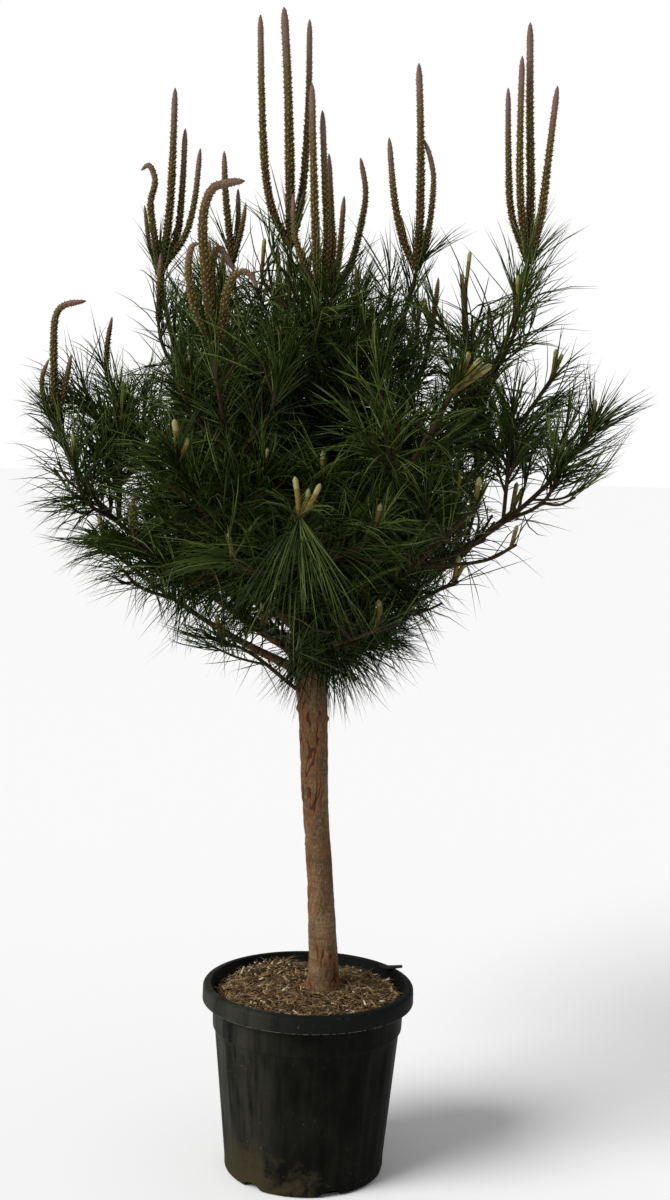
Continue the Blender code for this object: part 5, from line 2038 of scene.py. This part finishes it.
    def needles(self, spray: Spray, rng: np.random.Generator) -> Strands:
        """One spray's needles, on a spiral: close along the tip, spreading and hanging lower down.

        Args:
            spray: the leafy twig.
            rng: the crown's own random numbers.

        Returns:
            The needles.
        """
        habit = spray.bearing.value
        points, ways, first, second = frames_along(spray.path)
        bare = self.bare[spray.order]
        pairs = round(length_of(spray.path) * (1.0 - bare) / habit.pitch / 2)
        tuft = round(habit.tuft * pairs) if spray.order < 2 else 0
        power = self.crowding[0] if spray.order < 2 else self.crowding[1]
        grown = ((np.arange(pairs) + 0.5) / pairs) ** power
        foot, tip = habit.spread
        angles = foot + (tip - foot) * grown**self.spread_power + rng.normal(0.0, self.angle_noise, pairs)
        grown = np.concatenate([grown, rng.uniform(self.tuft_from, 1.0, tuft)])
        angles = np.concatenate([angles, rng.uniform(*habit.tuft_spread, tuft)])
        pairs += tuft
        rolls = np.arange(pairs) * GOLDEN_ANGLE + rng.normal(0.0, self.roll_noise, pairs)
        grown, rolls = np.repeat(grown, 2), np.repeat(rolls, 2)
        angles = np.radians(np.repeat(angles, 2))[:, None]
        count = len(grown)
        low, part = between(len(points), bare + (1.0 - bare) * grown)
        roots = blended(points, low, part)
        sides = np.cos(rolls)[:, None] * first[low] + np.sin(rolls)[:, None] * second[low]
        headings = unit(np.cos(angles) * unit(blended(ways, low, part)) + np.sin(angles) * sides)
        headings[-2 * tuft :, 2] -= habit.weep if tuft else 0.0
        headings = unit(headings + rng.normal(0.0, self.pair_spread, (count, 3)))
        shared, own = self.bend_noise
        bends = np.repeat(rng.normal(0.0, shared, (pairs, 3)), 2, axis=0) + rng.normal(0.0, own, (count, 3))
        bends += self.out_bend * sides
        level = self.level_hang[0] + self.level_hang[1] * np.hypot(headings[:, 0], headings[:, 1])
        hang = np.repeat(rng.uniform(*habit.hang, pairs), 2)
        bends[:, 2] -= hang * level * (self.foot_hang - habit.stiffness * grown)
        swell = self.size_swell[0] + self.size_swell[1] * np.sin(np.pi * grown)
        lengths = np.repeat(rng.uniform(*habit.lengths, pairs), 2) * swell
        lengths *= rng.uniform(*self.size_luck, count)
        slack = self.fan_slack if spray.bearing is Bearing.FAN and spray.order < 2 else 0.0
        clear = self.keep_in_outline(roots, headings, bends, lengths, slack, rng)
        lengths *= self.within_box(roots, lengths[:, None] * (headings + bends))
        widths = self.needle_width * rng.uniform(*self.width_luck, count)
        needles = Strands(roots, headings, bends, lengths, widths)
        clear &= (headings[:, 2] > self.level) | (rng.uniform(size=count) < habit.under)
        luck = rng.uniform(size=count)
        for share in self.tested:
            clear &= luck < self.kept_share(needles.at(share))
        return needles.chosen(clear)

    def kept_share(self, points: np.ndarray) -> np.ndarray:
        """The share of the needles to keep where they pass these points, as the camera sees the openings."""
        nearer = self.eye[1] / (self.eye[1] - points[:, 1])
        x = self.eye[0] + (points[:, 0] - self.eye[0]) * nearer
        z = self.eye[2] + (points[:, 2] - self.eye[2]) * nearer
        kept = np.ones(len(points))
        for opening in OPENINGS:
            kept = np.where(opening.spans(x, z), np.minimum(kept, opening.kept), kept)
        return kept

    def keep_in_outline(
        self, roots: np.ndarray, headings: np.ndarray, bends: np.ndarray, lengths: np.ndarray,
        slack: float, rng: np.random.Generator,
    ) -> np.ndarray:
        """Turns up the needles that would hang under the crown, and shortens those that stand out of it.

        Args:
            roots: where each needle stands.
            headings: its direction there.
            bends: how far its tip bends, as a share of its length. The upward part is changed.
            lengths: its length, which is changed.
            slack: how far it may hang under the crown.
            rng: the crown's own random numbers.

        Returns:
            True for each needle that then stays inside.
        """
        tips = roots + lengths[:, None] * (headings + bends)
        foot, far = OUTLINE.reach(roots), OUTLINE.reach(tips)
        ragged = rng.normal(0.0, self.edge_noise[0]) + rng.normal(0.0, self.edge_noise[1], len(far))
        widest = OUTLINE.widest + ragged
        share = np.clip((widest - foot) / np.maximum(far - foot, 1e-4), 0.0, 1.0)
        lengths *= np.where(far > widest, np.maximum(share, self.least_cut), 1.0)
        tips = roots + lengths[:, None] * (headings + bends)
        lack = ragged - OUTLINE.above(tips) + self.more_lean * np.minimum(tips[:, 0], 0.0) - slack
        lack = np.clip(lack / lengths, 0.0, None)
        bends[:, 2] += np.minimum(lack, self.most_lift)
        return (lack < self.most_lift + self.lift_slack) & (share > self.least_share)

    def within_box(self, roots: np.ndarray, reaches: np.ndarray) -> np.ndarray:
        """The share of each needle's reach that stays inside the solids' box."""
        low, high = np.array(SOLID_BOX[0]), np.array(SOLID_BOX[1])
        room = np.where(reaches > 0.0, high - roots, low - roots)
        shares = np.where(np.abs(reaches) > 1e-6, room / np.where(reaches == 0.0, 1.0, reaches), 1.0)
        return np.clip(shares.min(axis=1), self.least_in_box, 1.0)

    def in_core(self, spray: Spray) -> bool:
        """Whether a spray ends in the middle of the crown, close to the stem, where its needles are painted
        near-black as shade.
        """
        reach, low, high = self.painted_shade_core
        tip = spray.path[-1]
        return spray.bearing is Bearing.INNER and STEM.reach(tip) < reach and low < tip.z < high

    def build_needles(self) -> None:
        """Makes every needle and joins them by tone."""
        rng = np.random.default_rng(self.needle_seed)
        dealt: dict[Tone, list[Strands]] = {tone: [] for tone in Tone}
        tones = list(Tone)
        greens = tones[: tones.index(Tone.STRAW)]
        for spray in self.sprays:
            needles = self.needles(spray, rng)
            weights = self.tones.weights(spray)
            own = rng.choice(len(greens), p=weights[: len(greens)] / weights[: len(greens)].sum())
            alike = rng.uniform(size=len(needles.roots)) < self.own_tone
            picked = np.where(alike, own, rng.choice(len(tones), len(alike), p=weights))
            # Needles in the core take the near-black inner tone: painted shade.
            if self.in_core(spray):
                picked[picked != tones.index(Tone.STRAW)] = tones.index(Tone.INNER)
            for index, tone in enumerate(tones):
                if (picked == index).any():
                    some = needles.chosen(picked == index)
                    some.profile = tone.profile
                    dealt[tone].append(some)
        nodes = nodes_named("foliage_")
        for tone, strands in dealt.items():
            points, triangles = joined([some.arrays() for some in strands])
            per = len(strands[0].profile) * 3 + 1
            faces_per = 6 * len(strands[0].profile) - 2
            pieces = math.ceil(len(triangles) / MOST_TRIANGLES)
            needles = len(points) // per
            LOG.info("%s: %d needles, %d triangles", tone.name, needles, len(triangles))
            material = tone.value.material()
            for number in range(pieces):
                start, end = needles * number // pieces, needles * (number + 1) // pieces
                some = triangles[start * faces_per : end * faces_per] - start * per
                name = f"{tone.value.name}_{number + 1}"
                mesh = mesh_of(name, points[start * per : end * per], some)
                add_piece(name, mesh, material, nodes)

    def build_twigs(self) -> None:
        """Makes the stems that the needles stand on."""
        tubes = []
        for spray in self.sprays:
            girth = (spray.branch.girth * BRANCH_RULE.bough_tip, *self.twig_girths)[spray.order]
            end = self.twig_end[0] * girth + self.twig_end[1]
            tubes.append((spray.path, np.linspace(girth, end, len(spray.path))))
        bark = PlainFinish("twig_bark", (0.036, 0.023, 0.011), 0.85, 0.10)
        mesh = rolled_tubes("twigs", tubes, self.twig_sides)
        add_piece("twigs", mesh, bark.material(), nodes_named("foliage_"))

    def build(self) -> None:
        """Grows the sprays and makes their stems and needles."""
        self.grow_sprays()
        LOG.info("sprays: %d", len(self.sprays))
        self.build_twigs()
        self.build_needles()


# The candles


class Zone(Enum):
    """The stretches of a candle from base to tip: where each starts, and its skin's and scales' colours."""

    BASE = (0.00, (0.026, 0.018, 0.006), (0.120, 0.084, 0.025))
    LOWER = (0.16, (0.036, 0.023, 0.008), (0.175, 0.113, 0.038))
    MIDDLE = (0.38, (0.045, 0.034, 0.009), (0.205, 0.152, 0.042))
    UPPER = (0.58, (0.065, 0.048, 0.014), (0.245, 0.180, 0.056))
    THROAT = (0.70, (0.095, 0.064, 0.026), (0.255, 0.175, 0.076))
    NECK = (0.78, (0.130, 0.082, 0.045), (0.260, 0.170, 0.098))
    TIP = (0.86, (0.165, 0.100, 0.070), (0.260, 0.168, 0.122))
    BUD_FOOT = (0.00, (0.100, 0.052, 0.018), (0.230, 0.125, 0.045))
    BUD_MIDDLE = (0.30, (0.165, 0.115, 0.026), (0.260, 0.200, 0.052))
    BUD_TIP = (0.74, (0.260, 0.240, 0.090), (0.390, 0.370, 0.170))

    @classmethod
    def long(cls) -> list["Zone"]:
        """The zones of a long candle."""
        return [zone for zone in cls if zone not in cls.buds()]

    @classmethod
    def buds(cls) -> list["Zone"]:
        """The zones of a short one, no more than a bud."""
        return [cls.BUD_FOOT, cls.BUD_MIDDLE, cls.BUD_TIP]

    @property
    def start(self) -> float:
        """Where it starts, as a share of the candle."""
        return self.value[0]

    def finishes(self) -> tuple[PlainFinish, PlainFinish]:
        """The finishes of its skin and of its scales."""
        _, skin, scale = self.value
        word = self.name.lower()
        return PlainFinish(f"candle_{word}", skin, 0.65, 0.15), PlainFinish(f"scale_{word}", scale, 0.7, 0.15)


@dataclass
class CandleRows:
    """The candles: slender rods in close rows of scales, green-brown below and pinkish at the tip."""

    tree: Skeleton
    radius: float = 0.0062
    taper: float = 0.12
    step: float = 0.0060
    row: float = 0.0098
    columns: int = 8
    scale_out: float = 0.0036
    scale_half: float = 0.0029
    scale_blunt: float = 0.45
    scale_rise: float = 0.0060
    pointed: float = 0.026
    bud_length: float = 0.085
    bud_step: float = 0.0022
    bud_end: float = 0.007
    bud_scale: float = 0.40
    bud_girth: Span = (0.62, 0.14)
    short_girth: Span = (0.70, 1.5)
    least_end: float = 0.004
    end_powers: Span = (0.5, 0.40)  # of a bud's end and a long candle's
    row_shift: Span = (0.25, 0.5)
    row_noise: float = 0.08
    roll_noise: float = 0.09
    row_twist: float = 0.03
    scale_fall: float = 1.45
    scale_least: Span = (0.50, 0.4)  # by place and by the candle's thickness
    scale_luck: Span = (0.65, 1.25)
    scale_sunk: float = 0.88
    girth_luck: Span = (0.95, 1.05)
    seed: int = 5
    sides: int = 10
    blur: float = 0.05
    drift: Span = (-0.16, 0.06)

    def shape(self, path: Path, thick: float) -> np.ndarray:
        """The radius along a candle: a long taper and a pointed end, or a bud's round one."""
        shares = np.linspace(0.0, 1.0, len(path))
        length = length_of(path)
        left = (1.0 - shares) * length
        round_end, pointed_end = self.end_powers
        if length < self.bud_length:
            ends = np.clip(left / self.bud_end, self.least_end, 1.0) ** round_end
            return thick * (self.bud_girth[0] + self.bud_girth[1] * shares) * ends
        thinner = min(1.0, self.short_girth[0] + self.short_girth[1] * length)
        ends = np.clip(left / self.pointed, self.least_end, 1.0) ** pointed_end
        return thick * (1.0 - self.taper * shares) * thinner * ends

    def scales(
        self, path: Path, radii: np.ndarray, rng: np.random.Generator
    ) -> tuple[np.ndarray, np.ndarray]:
        """A candle's scales as small wedges in upright columns, with each one's place on the candle.

        Args:
            path: the candle's axis.
            radii: its radius along the axis.
            rng: the candles' own random numbers.

        Returns:
            Five points for each scale, and its share of the candle's length.
        """
        points, ways, first, second = frames_along(path)
        rows = max(3, round(length_of(path) / self.row))
        count = rows * self.columns
        row, column = np.divmod(np.arange(count), self.columns)
        first_row, odd = self.row_shift
        place = row + first_row + odd * (column % 2) + rng.normal(0.0, self.row_noise, count)
        shares = np.clip(place / rows, 0.0, 0.999)
        low, part = between(len(points), shares)
        centres, width = blended(points, low, part), blended(radii[:, None], low, part)
        rolls = column * math.tau / self.columns + self.row_twist * row
        rolls = rolls + rng.normal(0.0, self.roll_noise, count)
        out = np.cos(rolls)[:, None] * first[low] + np.sin(rolls)[:, None] * second[low]
        way = ways[low]
        side = np.cross(way, out)
        smaller = np.clip(self.scale_fall - shares, self.scale_least[0], 1.0)[:, None]
        smaller = smaller * np.clip(width / self.radius, self.scale_least[1], 1.0)
        smaller *= self.bud_scale if length_of(path) < self.bud_length else 1.0
        reach = self.scale_out * rng.uniform(*self.scale_luck, (count, 1)) * smaller
        base = centres + out * (width * self.scale_sunk)
        head = base + way * (self.scale_rise * smaller)
        tip = centres + out * (width + reach) + way * (self.scale_rise * smaller)
        half = side * self.scale_half * smaller
        blunt = half * self.scale_blunt
        return np.stack([base - half, base + half, tip + blunt, tip - blunt, head], axis=1), shares

    def build(self) -> None:
        """Makes every candle and joins them by zone."""
        rng = np.random.default_rng(self.seed)
        cores: dict[Zone, list] = {zone: [] for zone in Zone}
        scales: dict[Zone, list] = {zone: [] for zone in Zone}
        for branch in (*BOUGHS, *SPRAYS, LEADER):
            for points, girth in self.tree.candles.get(branch.name, []):
                short = length_of(points) < self.bud_length
                path = smooth_path(points, self.bud_step if short else self.step)
                radii = self.shape(path, self.radius * girth * rng.uniform(*self.girth_luck))
                found, shares = self.scales(path, radii, rng)
                drift = rng.uniform(*self.drift)
                zones = Zone.buds() if length_of(path) < self.bud_length else Zone.long()
                starts = [0.0, *(zone.start + drift * (1.0 - zone.start) for zone in zones[1:]), 1.0]
                blurred = np.clip(shares + rng.normal(0.0, self.blur / 2, len(shares)), 0.0, 0.999)
                for zone, low, high in zip(zones, starts, starts[1:]):
                    first, last = (round(max(0.0, end) * (len(path) - 1)) for end in (low, high))
                    if last > first:
                        cores[zone].append((path[first : last + 1], radii[first : last + 1]))
                    scales[zone].append(found[(blurred >= low) & (blurred < high)])
        nodes = nodes_named("foliage_")
        faces = np.array([(0, 1, 2), (0, 2, 3), (3, 2, 4), (0, 3, 4), (1, 4, 2), (0, 4, 1)])
        for zone in Zone:
            skin, scale = zone.finishes()
            mesh = rolled_tubes(skin.name, cores[zone], self.sides)
            add_piece(skin.name, mesh, skin.material(), nodes)
            corners = np.concatenate(scales[zone])
            triangles = repeated(faces, len(corners), 5)
            mesh = mesh_of(scale.name, corners.reshape(-1, 3), triangles)
            add_piece(scale.name, mesh, scale.material(), nodes)


# The studio


@dataclass
class Studio:
    """A pale floor, soft light from the left and the photograph's camera."""

    camera_at: Triple = CAMERA_AT
    pitch: float = math.radians(-6.4925)
    roll: float = math.radians(1.7014)
    lens: float = 54.31
    floor_size: float = 60.0
    backdrop: float = 1.0
    ambient: float = 0.38
    key_from: Triple = (-3.0, -2.0, 2.7)
    key_power: float = 3.2
    key_angle: float = math.radians(34.0)

    def build(self) -> None:
        """Makes the floor, the lights and the camera."""
        bm = bmesh.new()
        bmesh.ops.create_grid(bm, x_segments=1, y_segments=1, size=self.floor_size / 2)
        floor = linked("floor", finished(bm, "floor"))
        floor.data.materials.append(PlainFinish("floor_white", (0.97, 0.97, 0.97), 0.9, 0.1).material())
        self.sky()
        self.key()
        self.camera()
        bpy.context.scene.view_settings.view_transform = "Standard"

    def sky(self) -> None:
        """A white backdrop that lights the plant less strongly than it shows."""
        world = bpy.data.worlds.new("soft_sky")
        world.use_nodes = True
        nodes, links = world.node_tree.nodes, world.node_tree.links
        shown, lighting = nodes["Background"], nodes.new("ShaderNodeBackground")
        for background, strength in ((shown, self.backdrop), (lighting, self.ambient)):
            background.inputs["Color"].default_value = (1.0, 1.0, 1.0, 1.0)
            background.inputs["Strength"].default_value = strength
        mixed = nodes.new("ShaderNodeMixShader")
        links.new(nodes.new("ShaderNodeLightPath").outputs["Is Camera Ray"], mixed.inputs[0])
        links.new(lighting.outputs[0], mixed.inputs[1])
        links.new(shown.outputs[0], mixed.inputs[2])
        links.new(mixed.outputs[0], nodes["World Output"].inputs["Surface"])
        bpy.context.scene.world = world

    def key(self) -> None:
        """A broad soft light from the left front."""
        lamp = bpy.data.lights.new("key", "SUN")
        lamp.energy, lamp.angle = self.key_power, self.key_angle
        thing = linked("key", lamp)
        thing.rotation_euler = (-Vector(self.key_from)).to_track_quat("-Z", "Y").to_euler()

    def camera(self) -> None:
        """The camera, level with the crown's middle and looking slightly down."""
        lens = bpy.data.cameras.new("camera")
        lens.lens, lens.sensor_width, lens.sensor_height, lens.sensor_fit = self.lens, 36.0, 36.0, "AUTO"
        ahead = Vector((0.0, math.cos(self.pitch), math.sin(self.pitch)))
        right = Vector((1.0, 0.0, 0.0))
        up = right.cross(ahead)
        c, s = math.cos(self.roll), math.sin(self.roll)
        rolled = Matrix((c * right + s * up, -s * right + c * up, -ahead)).transposed().to_4x4()
        thing = linked("camera", lens)
        thing.matrix_world = Matrix.Translation(self.camera_at) @ rolled
        bpy.context.scene.camera = thing


def main() -> None:
    """Builds the plant from the pot upwards, and its studio."""
    logging.basicConfig(level=logging.INFO, format="%(name)s: %(message)s")
    Studio().build()
    NurseryPot().build()
    CompostFill().build()
    Limbs().build()
    tree = Skeleton().grow()
    Crown(tree).build()
    CandleRows(tree).build()


if __name__ == "__main__":
    main()
